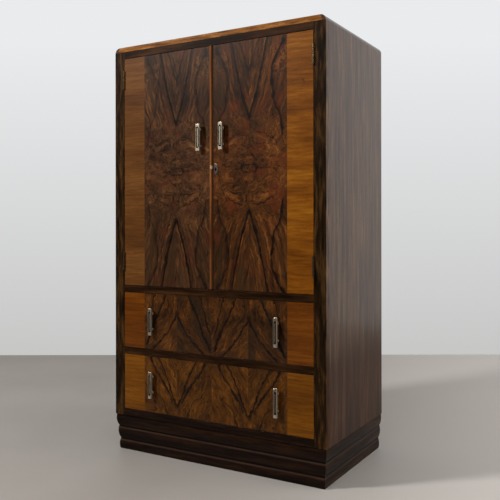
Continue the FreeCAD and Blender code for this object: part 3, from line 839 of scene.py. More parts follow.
@dataclass(frozen=True)
class DrawerFigure(Finish):
    """Four mirrored leaves of walnut along a drawer front."""

    label: str
    half_width: float
    low: float
    veins: tuple[Vein, ...]
    lean: Vein
    tones: BurrTones = GOLDEN_TONES
    polish: Polish = Polish(roughness=0.4, specular=0.06, coat=0.12, coat_roughness=0.14, relief=0.0001)
    seed: float = 0.0
    smoke: float = 0.8
    glow: float = 0.0

    def paint(self, paint: Paint) -> None:
        """Lays the four leaves and their veins."""
        x, _, z = paint.place()
        quarter = self.half_width / 2
        beside = abs(x) - quarter
        u = abs(beside)
        v = z - self.low
        odd = abs(x.over(0.0) - beside.over(0.0))
        leaf = odd * 0.3 + x.over(0.0) * 0.2 + self.seed
        # The run of the grain.
        wave = paint.noise(u * 18.0, v * 14.0, leaf) - 0.5
        tremble = paint.noise(u * 70.0, v * 60.0, leaf + 3.0) - 0.5
        bent = u + wave * 0.016 + tremble * 0.016
        height = v + wave * 0.012
        flow = bent - paint.curve(height, self.lean.places)
        grain = flow + (wave + tremble) * 0.012
        # Layers of the figure, from streaks to pencil lines.
        streaks = paint.noise(grain * 130.0, v * 11.0, leaf * 3.0, detail=4.0, roughness=0.65)
        flecks = paint.noise(grain * 160.0, v * 40.0, leaf * 3.0 + 81.0, detail=2.0, roughness=0.6)
        fibres = paint.noise(grain * 330.0, v * 34.0, leaf * 3.0, detail=3.0, roughness=0.6)
        patches = paint.noise(u * 15.0, v * 15.0, leaf * 4.0 + 11.0)
        layers = paint.noise(grain * 36.0, v * 4.0, leaf * 3.0 + 41.0, detail=1.0)
        patchy = paint.noise(u * 24.0, v * 20.0, leaf * 4.0 + 51.0).rise(0.36, 0.62)
        pencil = paint.stripes(layers) * patchy
        tone = (streaks - 0.5) * 0.9 + (fibres - 0.5) * 0.8 + (patches - 0.5) * 0.9 + (flecks - 0.5) * 0.9
        tone = tone + 0.5 + odd * 0.05 + self.glow
        tones = self.tones
        colour = tones.ramp(paint, tone)
        # Grey bands, lines and veins over the plain grain.
        grey = paint.noise(grain * 22.0, v * 6.0, leaf * 2.0 + 31.0).rise(0.4, 0.64)
        colour = paint.blend(grey * (1.0 - odd * 0.75) * self.smoke, colour, tones.grey)
        colour = paint.blend(pencil * 0.65, colour, tones.vein)
        for vein in self.veins:
            colour = vein.draw(paint, colour, bent, height, tremble, tones)
        self.polish.lay(paint, colour, (fibres - 0.5) * 0.14, fibres * 0.6 + streaks * 0.4)


@dataclass(frozen=True)
class Plate(Finish):
    """Plated or bare metal with scuffed and dull patches, and, round a given keyhole, dark wear and a painted
    shadow of the meeting bead on its left.
    """

    label: str
    bright: Colour
    dull: Colour
    roughness: float
    tarnish: float
    spots: float = 160.0
    keyhole_spot: tuple[float, float] | None = None

    def paint(self, paint: Paint) -> None:
        """Dull patches and fine pits over bright metal."""
        x, y, z = paint.place()
        clouds = paint.noise(x * self.spots, y * self.spots, z * self.spots, detail=4.0, roughness=0.6)
        pits = paint.noise(x * 900.0, y * 900.0, z * 900.0).rise(0.62, 0.74)
        overlay = clouds.rise(0.45, 0.75) * self.tarnish + pits * 0.15
        if self.keyhole_spot:
            beside, above = x - self.keyhole_spot[0], (z - self.keyhole_spot[1]) * 0.6
            reach = (beside * beside + above * above) ** 0.5
            # Dark wear round the keyhole, and painted shadow of the meeting bead along the left side.
            overlay = overlay.most(reach.fall(*STAIN_REACH)).most((beside + 0.0045).fall(*BEAD_SHADOW_EDGE))
        paint.surface(
            Base_Color=paint.blend(overlay, self.bright, self.dull),
            Metallic=1.0,
            Roughness=self.roughness + overlay * 0.3,
            Normal=paint.bump(clouds - pits, 0.00004),
        )


@dataclass(frozen=True)
class AgedBrass(Finish):
    """Brass hinges, bright at the top of the doors and darker at the bottom."""

    label: str
    bright: Colour
    dark: Colour
    change: float

    def paint(self, paint: Paint) -> None:
        """Darker below a height, broken up by patches."""
        x, y, z = paint.place()
        clouds = paint.noise(x * 170.0, y * 170.0, z * 120.0, detail=4.0, roughness=0.6)
        dark_share = (self.change - z + (clouds - 0.5) * 0.2).rise(-0.02, 0.02) * 0.75 + clouds.rise(0.4, 0.7) * 0.25
        paint.surface(
            Base_Color=paint.blend(dark_share, self.bright, self.dark),
            Metallic=1.0 - dark_share * 0.35,
            Roughness=0.26 + dark_share * 0.25,
            Normal=paint.bump(clouds, 0.00005),
        )


@dataclass(frozen=True)
class Layered(Finish):
    """Thin board of cross-glued layers, whose edges show them."""

    label: str
    face: Colour
    flame: Colour

    def paint(self, paint: Paint) -> None:
        """Wide rotary-cut flames on the faces, and fine layers at the edges."""
        x, y, z = paint.place()
        wander = paint.noise(x * 2.2, y * 2.2, z * 2.2, detail=3.0) * 3.0
        flames = paint.noise(x * 9.0 + wander, y * 9.0, z * 1.6 + wander, detail=3.0, roughness=0.6)
        fibres = paint.noise(x * 320.0, y * 320.0, z * 14.0)
        tone = (flames - 0.5) * 1.3 + (fibres - 0.5) * 0.4 + 0.5
        paint.surface(
            Base_Color=paint.ramp(tone, [(0.2, self.face), (0.8, self.flame)]),
            Roughness=0.62 + (fibres - 0.5) * 0.1,
            Normal=paint.bump(fibres, 0.0001),
        )


INSIDE_POLISH = Polish(roughness=0.6, specular=0.3, coat=0.0, coat_roughness=0.3, relief=0.00015)
SIDE_POLISH = Polish(roughness=0.38, specular=0.07, coat=0.6, coat_roughness=0.12, relief=0.00012)
PLINTH_POLISH = Polish(roughness=0.34, specular=0.04, coat=0.075, coat_roughness=0.16, relief=0.00012)
FRONT_POLISH = Polish(roughness=0.4, specular=0.06, coat=0.12, coat_roughness=0.14, relief=0.0001)
BAND_POLISH = Polish(roughness=0.4, specular=0.07, coat=0.15, coat_roughness=0.14, relief=0.00008)
RAIL_POLISH = Polish(roughness=0.46, specular=0.03, coat=0.04, coat_roughness=0.18, relief=0.0001)

# The two grooves between the plinth's three ribs.
RIB_GROOVES = (0.0345, 0.0759)

LEVEL_WALNUT = Timber(
    "walnut_level", Grain.ACROSS, srgb(17, 8, 2), srgb(40, 22, 8), srgb(66, 40, 19), RAIL_POLISH,
    ribbon=50.0, stretch=10.0, contrast=1.2, seed=3.0,
)
# The side's foot colour is painted shade: darker towards the floor, where it reflects less light.
SIDE_WALNUT = Timber(
    "walnut_side", Grain.UP, srgb(34, 18, 8), srgb(80, 52, 28), srgb(116, 88, 60), SIDE_POLISH,
    ribbon=52.0, fibre=150.0, stretch=17.0, wander=0.02, contrast=0.75, fibre_share=1.0, pores=0.5,
    seed=9.0, foot=(0.56, 0.42, 0.3, 1.0),
)
UPRIGHT_WALNUT = Timber(
    "walnut_upright", Grain.UP, srgb(14, 7, 2), srgb(38, 23, 8), srgb(72, 48, 22), RAIL_POLISH,
    ribbon=88.0, stretch=7.0, wander=0.03, contrast=1.3, flank=SIDE_WALNUT,
)
TOP_WALNUT = Timber(
    "walnut_top", Grain.ACROSS, srgb(40, 24, 12), srgb(66, 42, 24), srgb(92, 62, 38), SIDE_POLISH,
    ribbon=26.0, stretch=22.0, seed=5.0,
)
# The plinth boards carry painted shade in the grooves and painted highlights on the ribs below them.
PLINTH_WALNUT = Timber(
    "walnut_plinth", Grain.ACROSS, srgb(10, 4, 1), srgb(25, 12, 5), srgb(46, 26, 12),
    PLINTH_POLISH, ribbon=54.0, stretch=10.0, contrast=1.0, seed=7.0, grooves=RIB_GROOVES,
)
PLINTH_SIDE_WALNUT = Timber(
    "walnut_plinth_side", Grain.INWARD, srgb(15, 7, 2), srgb(40, 23, 10), srgb(66, 41, 21),
    PLINTH_POLISH, ribbon=54.0, stretch=10.0, contrast=1.0, seed=8.0, grooves=RIB_GROOVES,
)
STRIP_WALNUT = Timber(
    "walnut_strip", Grain.ACROSS, srgb(84, 49, 17), srgb(130, 81, 33), srgb(164, 110, 52),
    RAIL_POLISH, ribbon=90.0, stretch=7.0, contrast=1.3, pores=0.6, seed=12.0,
)
# The meeting bead is painted darker down its right side, as shade away from the light.
BEAD_WALNUT = Timber(
    "walnut_bead", Grain.UP, srgb(74, 38, 15), srgb(116, 68, 30), srgb(152, 98, 52),
    BAND_POLISH, ribbon=60.0, stretch=16.0, contrast=1.3, seed=14.0, side_shade=(0.0012, 0.0042),
    marks=(Mark(x=0.0015, z=0.914, size=0.0042, tone=srgb(186, 160, 132), share=0.9),),
)
LEFT_CROSSBAND = Timber(
    "left_crossband_walnut", Grain.ACROSS, srgb(58, 31, 10), srgb(94, 56, 21), srgb(122, 79, 37),
    BAND_POLISH, ribbon=14.0, fibre=150.0, stretch=13.0, contrast=0.65, fibre_share=0.6, pores=0.25,
    seed=17.0,
)
# Painted light: this crossband is painted lighter than the left door's, for how the light falls on the right
# door.
RIGHT_CROSSBAND = Timber(
    "right_crossband_walnut", Grain.ACROSS, srgb(79, 39, 2), srgb(123, 69, 6), srgb(158, 100, 20),
    BAND_POLISH, ribbon=11.0, fibre=150.0, stretch=9.0, contrast=1.05, fibre_share=0.7, pores=0.25,
    seed=27.0, marks=(Mark(x=0.309, z=1.141, size=0.004, tone=srgb(79, 39, 2), hooked=True),),
)
UPPER_CROSSBAND = Timber(
    "upper_drawer_crossband_walnut", Grain.ACROSS, srgb(62, 28, 2), srgb(98, 50, 5), srgb(130, 74, 13),
    FRONT_POLISH, ribbon=16.0, fibre=150.0, stretch=14.0, contrast=0.55, fibre_share=0.7, pores=0.3,
    seed=37.0,
)
LOWER_CROSSBAND = Timber(
    "lower_drawer_crossband_walnut", Grain.ACROSS, srgb(68, 34, 2), srgb(106, 60, 5), srgb(140, 86, 14),
    FRONT_POLISH, ribbon=14.0, fibre=150.0, stretch=14.0, contrast=0.5, fibre_share=0.7, pores=0.3,
    seed=47.0,
)
CORE_WOOD = Timber(
    "door_core_wood", Grain.UP, srgb(92, 62, 38), srgb(118, 82, 52), srgb(140, 102, 68),
    INSIDE_POLISH, seed=19.0,
)
INNER_WOOD = Timber(
    "inner_beech", Grain.ACROSS, srgb(150, 116, 80), srgb(176, 142, 102), srgb(196, 164, 124),
    INSIDE_POLISH, seed=23.0,
)
INNER_SIDE_WOOD = replace(INNER_WOOD, label="inner_beech_side", grain=Grain.INWARD, seed=24.0)
PLYWOOD = Layered("birch_board", face=srgb(186, 152, 110), flame=srgb(160, 122, 82))
NICKEL = Plate(
    "worn_nickel", srgb(182, 167, 150), srgb(128, 112, 93),
    roughness=0.4, tarnish=0.4, spots=90.0,
)
NICKEL_RIB = Plate(
    "rubbed_rib", srgb(168, 158, 132), srgb(102, 90, 72),
    roughness=0.4, tarnish=0.5, spots=120.0,
)
DULL_NICKEL = Plate(
    "dull_nickel", srgb(198, 186, 168), srgb(116, 101, 82),
    roughness=0.38, tarnish=0.45, spots=90.0,
)
DULL_RIB = Plate(
    "grimy_rib", srgb(138, 123, 100), srgb(66, 55, 43),
    roughness=0.45, tarnish=0.6, spots=120.0,
)
# Painted shade in the handles' grooves, with tarnish patches.
GROOVE = Plate(
    "grimy_groove", srgb(46, 36, 28), srgb(18, 12, 9),
    roughness=0.6, tarnish=0.8, spots=200.0,
)
OLD_STEEL = Plate(
    "dull_steel", srgb(106, 94, 84), srgb(26, 19, 15),
    roughness=0.36, tarnish=0.5, keyhole_spot=(0.016, 0.907),
)
IRON = Plate(
    "lock_iron", srgb(120, 116, 110), srgb(60, 52, 46),
    roughness=0.42, tarnish=0.7,
)
BRASS = AgedBrass("aged_brass", srgb(108, 86, 60), srgb(44, 32, 22), change=0.9)


def linked(made: bpy.types.Object) -> bpy.types.Object:
    """Puts a new object into the scene."""
    bpy.context.scene.collection.objects.link(made)
    return made


class Bench:
    """One new mesh on the bench, shaped with edit-mode operators."""

    def __init__(self, piece: bpy.types.Object, name: str) -> None:
        """Takes a mesh object, names it and makes it the one that the operators act on."""
        self.piece = piece
        piece.name = name
        self.hold()

    @classmethod
    def block(cls, name: str, low: Vector, high: Vector) -> "Bench":
        """A box between two corners."""
        bpy.ops.mesh.primitive_cube_add(size=1.0, location=(low + high) / 2, scale=high - low)
        return cls(bpy.context.object, name).applied()

    @classmethod
    def turned(cls, name: str, steps: Sequence[tuple[float, float]], sides: int = 32) -> "Bench":
        """A round piece about the Y axis, drawn out ring by ring.

        Args:
            name: The piece's name.
            steps: Radius and Y of each ring, in order.
            sides: How many sides stand for the circle.

        Returns:
            The bench with the closed piece.
        """
        radius, y = steps[0]
        turn = (math.pi / 2, 0.0, 0.0)
        bpy.ops.mesh.primitive_circle_add(
            vertices=sides, radius=radius, fill_type="NGON", location=(0.0, y, 0.0), rotation=turn
        )
        made = cls(bpy.context.object, name).applied()
        bpy.ops.object.mode_set(mode="EDIT")
        bpy.ops.mesh.select_all(action="SELECT")
        for next_radius, next_y in steps[1:]:
            bpy.ops.mesh.extrude_region_move(TRANSFORM_OT_translate={"value": (0.0, next_y - y, 0.0)})
            share = next_radius / radius
            bpy.ops.transform.resize(value=(share, 1.0, share), center_override=(0.0, next_y, 0.0))
            radius, y = next_radius, next_y
        return made.outward()

    @classmethod
    def stadium(cls, name: str, width: float, height: float, front: float, depth: float) -> "Bench":
        """An upright bar with round ends, from its front face inwards.

        Args:
            name: The piece's name.
            width: Its width, which is also the width of its round ends.
            height: Its whole height.
            front: The Y of its front face.
            depth: How deep it is.

        Returns:
            The bench with the closed piece.
        """
        made = cls.turned(name, [(width / 2, front), (width / 2, front + depth)])
        stretch = (height - width) / 2
        for way in (-1.0, 1.0):
            made.vertices(lambda place: place.z * way > width / 1000)
            bpy.ops.transform.translate(value=(0.0, 0.0, stretch * way))
        made.free()
        return made

    @classmethod
    def from_node(cls, name: str, node: str) -> "Bench":
        """A merged copy of a CAD node's mesh, with whole faces in place of its triangles."""
        mesh = frame["nodes"][node].data.copy()
        made = cls(linked(bpy.data.objects.new(name, mesh)), name)
        bpy.ops.object.mode_set(mode="EDIT")
        bpy.ops.mesh.select_all(action="SELECT")
        bpy.ops.mesh.remove_doubles(threshold=SAME_PLACE)
        bpy.ops.mesh.dissolve_limited(angle_limit=math.radians(SAME_PLANE))
        made.free()
        return made

    def hold(self) -> None:
        """Makes this piece the only one that is selected and active, in object mode."""
        if bpy.context.mode != "OBJECT":
            bpy.ops.object.mode_set(mode="OBJECT")
        bpy.ops.object.select_all(action="DESELECT")
        self.piece.select_set(True)
        bpy.context.view_layer.objects.active = self.piece

    def applied(self) -> "Bench":
        """Bakes the object's place, turn and scale into its mesh."""
        bpy.ops.object.transform_apply(location=True, rotation=True, scale=True)
        return self

    def free(self) -> None:
        """Leaves edit mode."""
        bpy.ops.object.mode_set(mode="OBJECT")

    def _start(self, kind: str) -> bpy.types.Mesh:
        """Clears the selection in the wanted mode, and leaves edit mode to set it in code."""
        self.hold()
        bpy.ops.object.mode_set(mode="EDIT")
        bpy.ops.mesh.select_mode(type=kind)
        bpy.ops.mesh.select_all(action="DESELECT")
        self.free()
        return self.piece.data

    def faces(self, test: Callable[[Vector, Vector], bool]) -> "Bench":
        """Selects the faces whose centre and normal pass a test, in edit mode."""
        for face in self._start("FACE").polygons:
            face.select = bool(test(face.center, face.normal))
        bpy.ops.object.mode_set(mode="EDIT")
        return self

    def vertices(self, test: Callable[[Vector], bool]) -> "Bench":
        """Selects the vertices whose place passes a test, in edit mode."""
        for vertex in self._start("VERT").vertices:
            vertex.select = bool(test(vertex.co))
        bpy.ops.object.mode_set(mode="EDIT")
        return self

    def edges(self, test: Callable[[Vector, Vector], bool]) -> "Bench":
        """Selects the edges whose two ends pass a test, in edit mode."""
        mesh = self._start("EDGE")
        for edge in mesh.edges:
            first, second = (mesh.vertices[number].co for number in edge.vertices)
            edge.select = bool(test(first, second))
        bpy.ops.object.mode_set(mode="EDIT")
        return self

    def rounded(self, radius: float, segments: int) -> "Bench":
        """Rounds the selected edges."""
        bpy.ops.mesh.bevel(offset=radius, segments=segments, affect="EDGES")
        self.free()
        return self

    def outward(self) -> "Bench":
        """Turns all faces outwards and leaves edit mode."""
        bpy.ops.mesh.select_all(action="SELECT")
        bpy.ops.mesh.normals_make_consistent(inside=False)
        self.free()
        return self

    def softened(self, width: float, segments: int = 2, corner: float = 40.0) -> "Bench":
        """Breaks the sharp edges all over.

        Args:
            width: How wide the broken edge is.
            segments: How many facets it has.
            corner: The least angle between faces that counts as sharp, in degrees.

        Returns:
            The bench.
        """
        return self._modified(
            "BEVEL", width=width, segments=segments, limit_method="ANGLE", angle_limit=math.radians(corner)
        )

    def cut(self, cutter: "Bench") -> "Bench":
        """Takes another piece's shape away from this one, and removes that piece."""
        self._modified("BOOLEAN", operation="DIFFERENCE", solver="EXACT", object=cutter.piece)
        bpy.data.objects.remove(cutter.piece)
        return self

    def _modified(self, kind: str, **settings: Any) -> "Bench":
        """Applies one modifier.

        Args:
            kind: The modifier's type.
            **settings: What is set on it.

        Returns:
            The bench.
        """
        self.hold()
        change = self.piece.modifiers.new(kind.lower(), kind)
        for name, value in settings.items():
            setattr(change, name, value)
        bpy.ops.object.modifier_apply(modifier=change.name)
        return self

    def joined(self, *others: "Bench") -> "Bench":
        """Adds other pieces' meshes to this one."""
        self.hold()
        for other in others:
            other.piece.select_set(True)
        bpy.context.view_layer.objects.active = self.piece
        bpy.ops.object.join()
        return self

    def moved(self, offset: Vector) -> "Bench":
        """Moves the mesh, and leaves the object at the origin."""
        self.hold()
        self.piece.location = offset
        return self.applied()

    def copied(self, name: str, offset: Vector) -> "Bench":
        """A copy with its own mesh, moved by an offset."""
        piece = self.piece.copy()
        piece.data = self.piece.data.copy()
        return Bench(linked(piece), name).moved(offset)

    def discarded(self) -> None:
        """Removes the piece."""
        bpy.data.objects.remove(self.piece)

    def coated(self, *finishes: Finish) -> "Bench":
        """Gives the piece these finishes, the first of them all over."""
        self.piece.data.materials.clear()
        for finish in finishes:
            self.piece.data.materials.append(finish.material())
        return self

    def assigned(self, number: int) -> "Bench":
        """Gives the selected faces the finish of that number, and leaves edit mode."""
        self.piece.active_material_index = number
        bpy.ops.object.material_slot_assign()
        self.free()
        return self

    def finished(
        self, nodes: Sequence[str], finish: Finish | None = None, smooth: float = 35.0
    ) -> bpy.types.Object:
        """Smooths the piece and lets it stand for CAD nodes.

        Args:
            nodes: The CAD nodes that it stands for, on one body.
            finish: Its finish, where it isn't coated yet.
            smooth: The angle up to which faces are shaded as one, in degrees.

        Returns:
            The finished object.
        """
        self.hold()
        if finish:
            self.coated(finish)
        bpy.ops.object.shade_smooth_by_angle(angle=math.radians(smooth))
        self._modified("WEIGHTED_NORMAL", keep_sharp=True, weight=80)
        first = frame["nodes"][nodes[0]]
        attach(self.piece, first["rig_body"])
        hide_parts(*nodes)
        return self.piece


def refine(node: str, finish: Finish, edge: float) -> bpy.types.Object:
    """A CAD node's own shape in a finish, with softly broken edges of that width."""
    return Bench.from_node(node + "_piece", node).softened(edge).finished([node], finish)


def dress(finish: Finish, *nodes: str) -> None:
    """Gives a finish to CAD nodes whose shape stays as it is."""
    for node in nodes:
        for place in frame["nodes"][node].material_slots:
            place.material = finish.material()
        LOG.info("dressed %s", node)


@dataclass
class BarHandle:
    """A cast bar with a round-ended groove and a rib in it, on two round posts screwed from inside."""

    proud: float = 0.016
    length: float = 0.086
    width: float = 0.016
    thickness: float = 0.006
    edge: float = 0.0016
    corner: float = 0.003
    groove_width: float = 0.0096
    groove_length: float = 0.066
    groove_depth: float = 0.0018
    groove_edge: float = 0.0003
    rib_width: float = 0.0044
    rib_length: float = 0.057
    post_spacing: float = 0.050
    post_radius: float = 0.0026
    collar_radius: float = 0.0038
    collar_height: float = 0.0012
    shank_radius: float = 0.0018
    head_radius: float = 0.0038
    head_height: float = 0.0020
    slot_width: float = 0.0009
    slot_depth: float = 0.0009

    def build(
        self, node: str, spots: Sequence[tuple[float, float]], surface: float, finish: Finish, rib: Finish
    ) -> None:
        """Models one handle and puts a copy at each place.

        Args:
            node: The CAD node that the handles stand for.
            spots: The X and Z of each handle's middle.
            surface: The Y of the surface that the posts stand on.
            finish: The handles' finish.
            rib: The finish of the rib in the groove.
        """
        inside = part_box(node)[1].y - surface
        model = self._bar(finish, rib)
        posts = [self._post(way * self.post_spacing / 2, inside) for way in (-1.0, 1.0)]
        for post in posts:
            post.coated(finish)
        model.joined(*posts)
        for number, (x, z) in enumerate(spots):
            copy = model.copied(f"{node}_piece_{number}", Vector((x, surface, z)))
            copy.finished([node], smooth=40.0)
        model.discarded()

    def _bar(self, finish: Finish, rib: Finish) -> Bench:
        """The bar: rounded in outline, with broken edges and painted shade in its groove."""
        face = -self.proud
        low = Vector((-self.width / 2, face, -self.length / 2))
        high = Vector((self.width / 2, face + self.thickness, self.length / 2))
        bar = Bench.block("bar", low, high)
        bar.edges(lambda a, b: abs(a.y - b.y) > self.thickness / 2).rounded(self.corner, 4)
        front = bar.edges(lambda a, b: max(a.y, b.y) < face + self.thickness / 4)
        front.rounded(self.edge, 4)
        back = bar.edges(lambda a, b: min(a.y, b.y) > face + self.thickness * 3 / 4)
        back.rounded(self.edge / 2, 2)
        over = self.groove_depth
        groove = Bench.stadium("groove", self.groove_width, self.groove_length, face - over, over * 2)
        middle = Bench.stadium("rib", self.rib_width, self.rib_length, face - over * 2, over * 4)
        bar.cut(groove.cut(middle))
        bar.softened(self.groove_edge, corner=50.0)
        bar.coated(finish, GROOVE, rib)
        within = self.groove_width / 2 + over / 10
        bar.faces(lambda c, n: c.y > face + over / 5 and abs(c.x) < within and (abs(n.y) < 0.9 or n.y < 0.0))
        bar.assigned(1)
        half, end = self.rib_width / 2, self.rib_length / 2
        bar.faces(lambda c, n: c.y < face + over / 5 and abs(c.x) < half and abs(c.z) < end)
        return bar.assigned(2)

    def _post(self, z: float, inside: float) -> Bench:
        """One post with its collar, and the screw that holds it from inside."""
        top = self.thickness / 2 - self.proud
        neck = self.post_radius * 1.15
        steps = [
            (self.post_radius, top),
            (self.post_radius, -self.collar_height * 2),
            (neck, -self.collar_height * 1.3),
            (self.collar_radius * 0.9, -self.collar_height),
            (self.collar_radius, -self.collar_height * 0.7),
            (self.collar_radius, 0.0),
            (self.shank_radius, 0.0),
            (self.shank_radius, inside - self.head_height),
            (self.head_radius, inside - self.head_height),
            (self.head_radius, inside - self.head_height * 0.5),
            (self.head_radius * 0.8, inside - self.head_height * 0.12),
            (self.head_radius * 0.5, inside),
        ]
        post = Bench.turned("post", steps, sides=24)
        half = Vector((self.head_radius * 1.2, self.slot_depth, self.slot_width / 2))
        middle = Vector((0.0, inside, 0.0))
        post.cut(Bench.block("slot", middle - half, middle + half))
        return post.moved(Vector((0.0, 0.0, z)))


@dataclass
class Escutcheon:
    """The oval plate round the keyhole, crowned, with a keyhole through it."""

    width: float = 0.016
    height: float = 0.034
    thickness: float = 0.0012
    edge: float = 0.0007
    rim: float = 0.00012
    hole_radius: float = 0.002
    slot_width: float = 0.002
    slot_drop: float = 0.0065

    def build(self, node: str, finish: Finish) -> None:
        """Models the plate.

        Args:
            node: The CAD node that it stands for.
            finish: Its finish.
        """
        low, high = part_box(node)
        middle = (low + high) / 2
        radius = self.width / 2
        steps = [
            (radius, 0.0),
            (radius, -self.thickness + self.edge),
            (radius * 0.93, -self.thickness + self.edge * 0.3),
            (radius * 0.84, -self.thickness),
        ]
        plate = Bench.turned("plate", steps, sides=48)
        plate.vertices(lambda place: True)
        tall = self.height / self.width
        bpy.ops.transform.resize(value=(1.0, 1.0, tall), center_override=(0.0, 0.0, 0.0))
        plate.free()
        deep = self.thickness * 3
        hole = Bench.turned("hole", [(self.hole_radius, -deep), (self.hole_radius, deep)], sides=24)
        top = Vector((self.slot_width / 2, deep, 0.0))
        bottom = Vector((-self.slot_width / 2, -deep, -self.slot_drop))
        plate.cut(hole)
        plate.cut(Bench.block("slot", bottom, top))
        plate.softened(self.rim, segments=1, corner=50.0)
        plate.moved(Vector((middle.x, high.y, middle.z))).finished([node], finish, 40.0)


@dataclass(frozen=True)
class View:
    """The camera that took the picture."""

    place: Place = (1.1795, -1.9855, 0.7314)
    turn: float = 0.531984
    tilt: float = -0.00033
    roll: float = -0.001326
    lens: float = 50.348
    sensor: float = 36.0
    shift_up: float = -0.04494

    def build(self) -> None:
        """Makes the camera and gives it to the scene."""
        data = bpy.data.cameras.new("camera")
        data.lens = self.lens
        data.sensor_width = self.sensor
        data.shift_y = self.shift_up
        made = linked(bpy.data.objects.new("camera", data))
        pose = Matrix.Rotation(self.turn, 4, "Z") @ Matrix.Rotation(math.pi / 2 + self.tilt, 4, "X")
        made.matrix_world = Matrix.Translation(self.place) @ pose @ Matrix.Rotation(self.roll, 4, "Z")
        bpy.context.scene.camera = made

    def forward(self) -> Vector:
        """The level direction that the camera looks along."""
        return Vector((-math.sin(self.turn), math.cos(self.turn), 0.0))


@dataclass(frozen=True)
class Lamp:
    """A soft square lamp: where it hangs, what it points at, its side in metres and its power in watts."""

    name: str
    place: Place
    target: Place
    size: float
    power: float

    def build(self) -> None:
        """Makes the lamp, which the camera doesn't see."""
        data = bpy.data.lights.new(self.name, "AREA")
        data.size = self.size
        data.energy = self.power
        made = linked(bpy.data.objects.new(self.name, data))
        made.location = self.place
        way = Vector(self.target) - Vector(self.place)
        made.rotation_euler = way.to_track_quat("-Z", "Y").to_euler()
        made.visible_camera = False


@dataclass
class Studio:
    """A pale floor, a pale backdrop behind the object, and soft light.

    Attributes:
        view: The camera that the backdrop is square to.
        wall_distance: How far the backdrop stands from the camera.
        floor_reach: Half the side of the floor.
        wall_height: The height of the backdrop.
        wall_width: The width of the backdrop.
        backdrop: The world's strength where the camera sees it.
        fill: The world's strength as a light.
        gloss_ahead: Its strength in a gloss, from the front.
        gloss_above: What is added to that from above.
        gloss_behind: What is added to that from behind the object.
        lamps: The lamps.
    """

    view: View
    wall_distance: float = 4.009
    floor_reach: float = 5.0
    wall_height: float = 4.0
    wall_width: float = 10.0
    backdrop: float = 0.84
    fill: float = 0.285
    gloss_ahead: float = 0.07
    gloss_above: float = 0.25
    gloss_behind: float = 0.73
    lamps: tuple[Lamp, ...] = (
        Lamp("key_light", (-1.8, -2.3, 2.65), (0.0, 0.0, 0.8), size=0.42, power=95.0),
        Lamp("ceiling_light", (0.9, -1.7, 3.2), (0.1, 0.0, 0.8), size=2.0, power=17.0),
        Lamp("side_light", (2.9, 0.5, 2.3), (0.7, 0.0, 0.2), size=1.8, power=34.0),
    )

    def build(self) -> None:
        """Makes the floor, the backdrop, the world and the lamps."""
        bpy.context.scene.view_settings.view_transform = "Standard"
        self._floor()
        self._wall()
        self._world()
        for lamp in self.lamps:
            lamp.build()

    def _floor(self) -> None:
        """A level plane under the object, painted paler towards the right and back as painted light."""
        floor, paint = self._plane("studio_floor", 2 * self.floor_reach)
        x, y, _ = paint.place()
        clouds = paint.noise(x * 2.0, y * 2.0, 0.0)
        # Painted light: the floor turns paler towards the right and back.
        lit_share = (x * 0.8 + y * 0.4).rise(-0.4, 1.4)
        left = paint.ramp(clouds, [(0.3, srgb(154, 147, 140)), (0.7, srgb(162, 155, 148))])
        colour = paint.blend(lit_share, left, srgb(232, 225, 218))
        paint.surface(Base_Color=colour, Roughness=0.55)

    def _wall(self) -> None:
        """An upright plane square to the camera, seen only from the object's side."""
        foot = Vector(self.view.place) + self.view.forward() * self.wall_distance
        wall, paint = self._plane("studio_backdrop", 1.0)
        stand = Matrix.Rotation(self.view.turn, 4, "Z") @ Matrix.Rotation(math.pi / 2, 4, "X")
        size = Matrix.Diagonal((self.wall_width, self.wall_height, 1.0, 1.0))
        middle = Vector((foot.x, foot.y, self.wall_height / 2))
        wall.data.transform(Matrix.Translation(middle) @ stand @ size)
        _, _, z = paint.place()
        # Painted shade: the backdrop darkens towards the floor.
        pale = paint.ramp(z / self.wall_height, [(0.0, srgb(198, 198, 197)), (0.45, srgb(234, 235, 237))])
        glow = paint.node("ShaderNodeEmission", inputs={"Color": pale, "Strength": 1.0})
        clear = paint.node("ShaderNodeBsdfTransparent")
        front = 1.0 - paint.node("ShaderNodeNewGeometry", output="Backfacing")
        mixed = paint.node("ShaderNodeMixShader", inputs={0: front * self._seen(paint), 1: clear, 2: glow})
        paint.node("ShaderNodeOutputMaterial", inputs={"Surface": mixed})

    @staticmethod
    def _plane(name: str, size: float) -> tuple[bpy.types.Object, Paint]:
        """A level square at the origin.

        Args:
            name: Its name, and its material's.
            size: The length of its side.

        Returns:
            The plane, and the paint of its material.
        """
        bpy.ops.mesh.primitive_plane_add(size=size, location=(0.0, 0.0, 0.0))
        plane = bpy.context.object
        plane.name = name
        material, paint = Paint.material(name)
        plane.data.materials.append(material)
        return plane, paint

    @staticmethod
    def _seen(paint: Paint) -> Wire:
        """One for what is seen straight, in a gloss or through glass, and zero for what only lights."""
        straight = paint.node("ShaderNodeLightPath", output="Is Camera Ray")
        outputs = straight.socket.node.outputs
        gloss, glass = Wire(paint, outputs["Is Glossy Ray"]), Wire(paint, outputs["Is Transmission Ray"])
        return straight.most(gloss).most(glass)

    def _world(self) -> None:
        """Pale all round for the camera, and dimmer for the light that falls on the object."""
        world = bpy.data.worlds.new("studio")
        bpy.context.scene.world = world
        world.use_nodes = True
        paint = Paint(world.node_tree)
        way = paint.node("ShaderNodeTexCoord", output="Generated")
        x, y, z = paint.split(way)
        straight = paint.node("ShaderNodeLightPath", output="Is Camera Ray")
        seen = self._seen(paint)
        behind = (y * 0.86 + x * 0.5).rise(-0.3, 0.5)
        ahead = self.gloss_ahead + z.rise(0.1, 0.9) * (1.0 - behind) * self.gloss_above
        gloss = ahead + behind * self.gloss_behind
        strength = straight * self.backdrop + (seen - straight) * gloss + (1.0 - seen) * self.fill
        glow = paint.node("ShaderNodeBackground", inputs={"Color": srgb(252, 250, 248), "Strength": strength})
        paint.node("ShaderNodeOutputWorld", inputs={"Surface": glow})


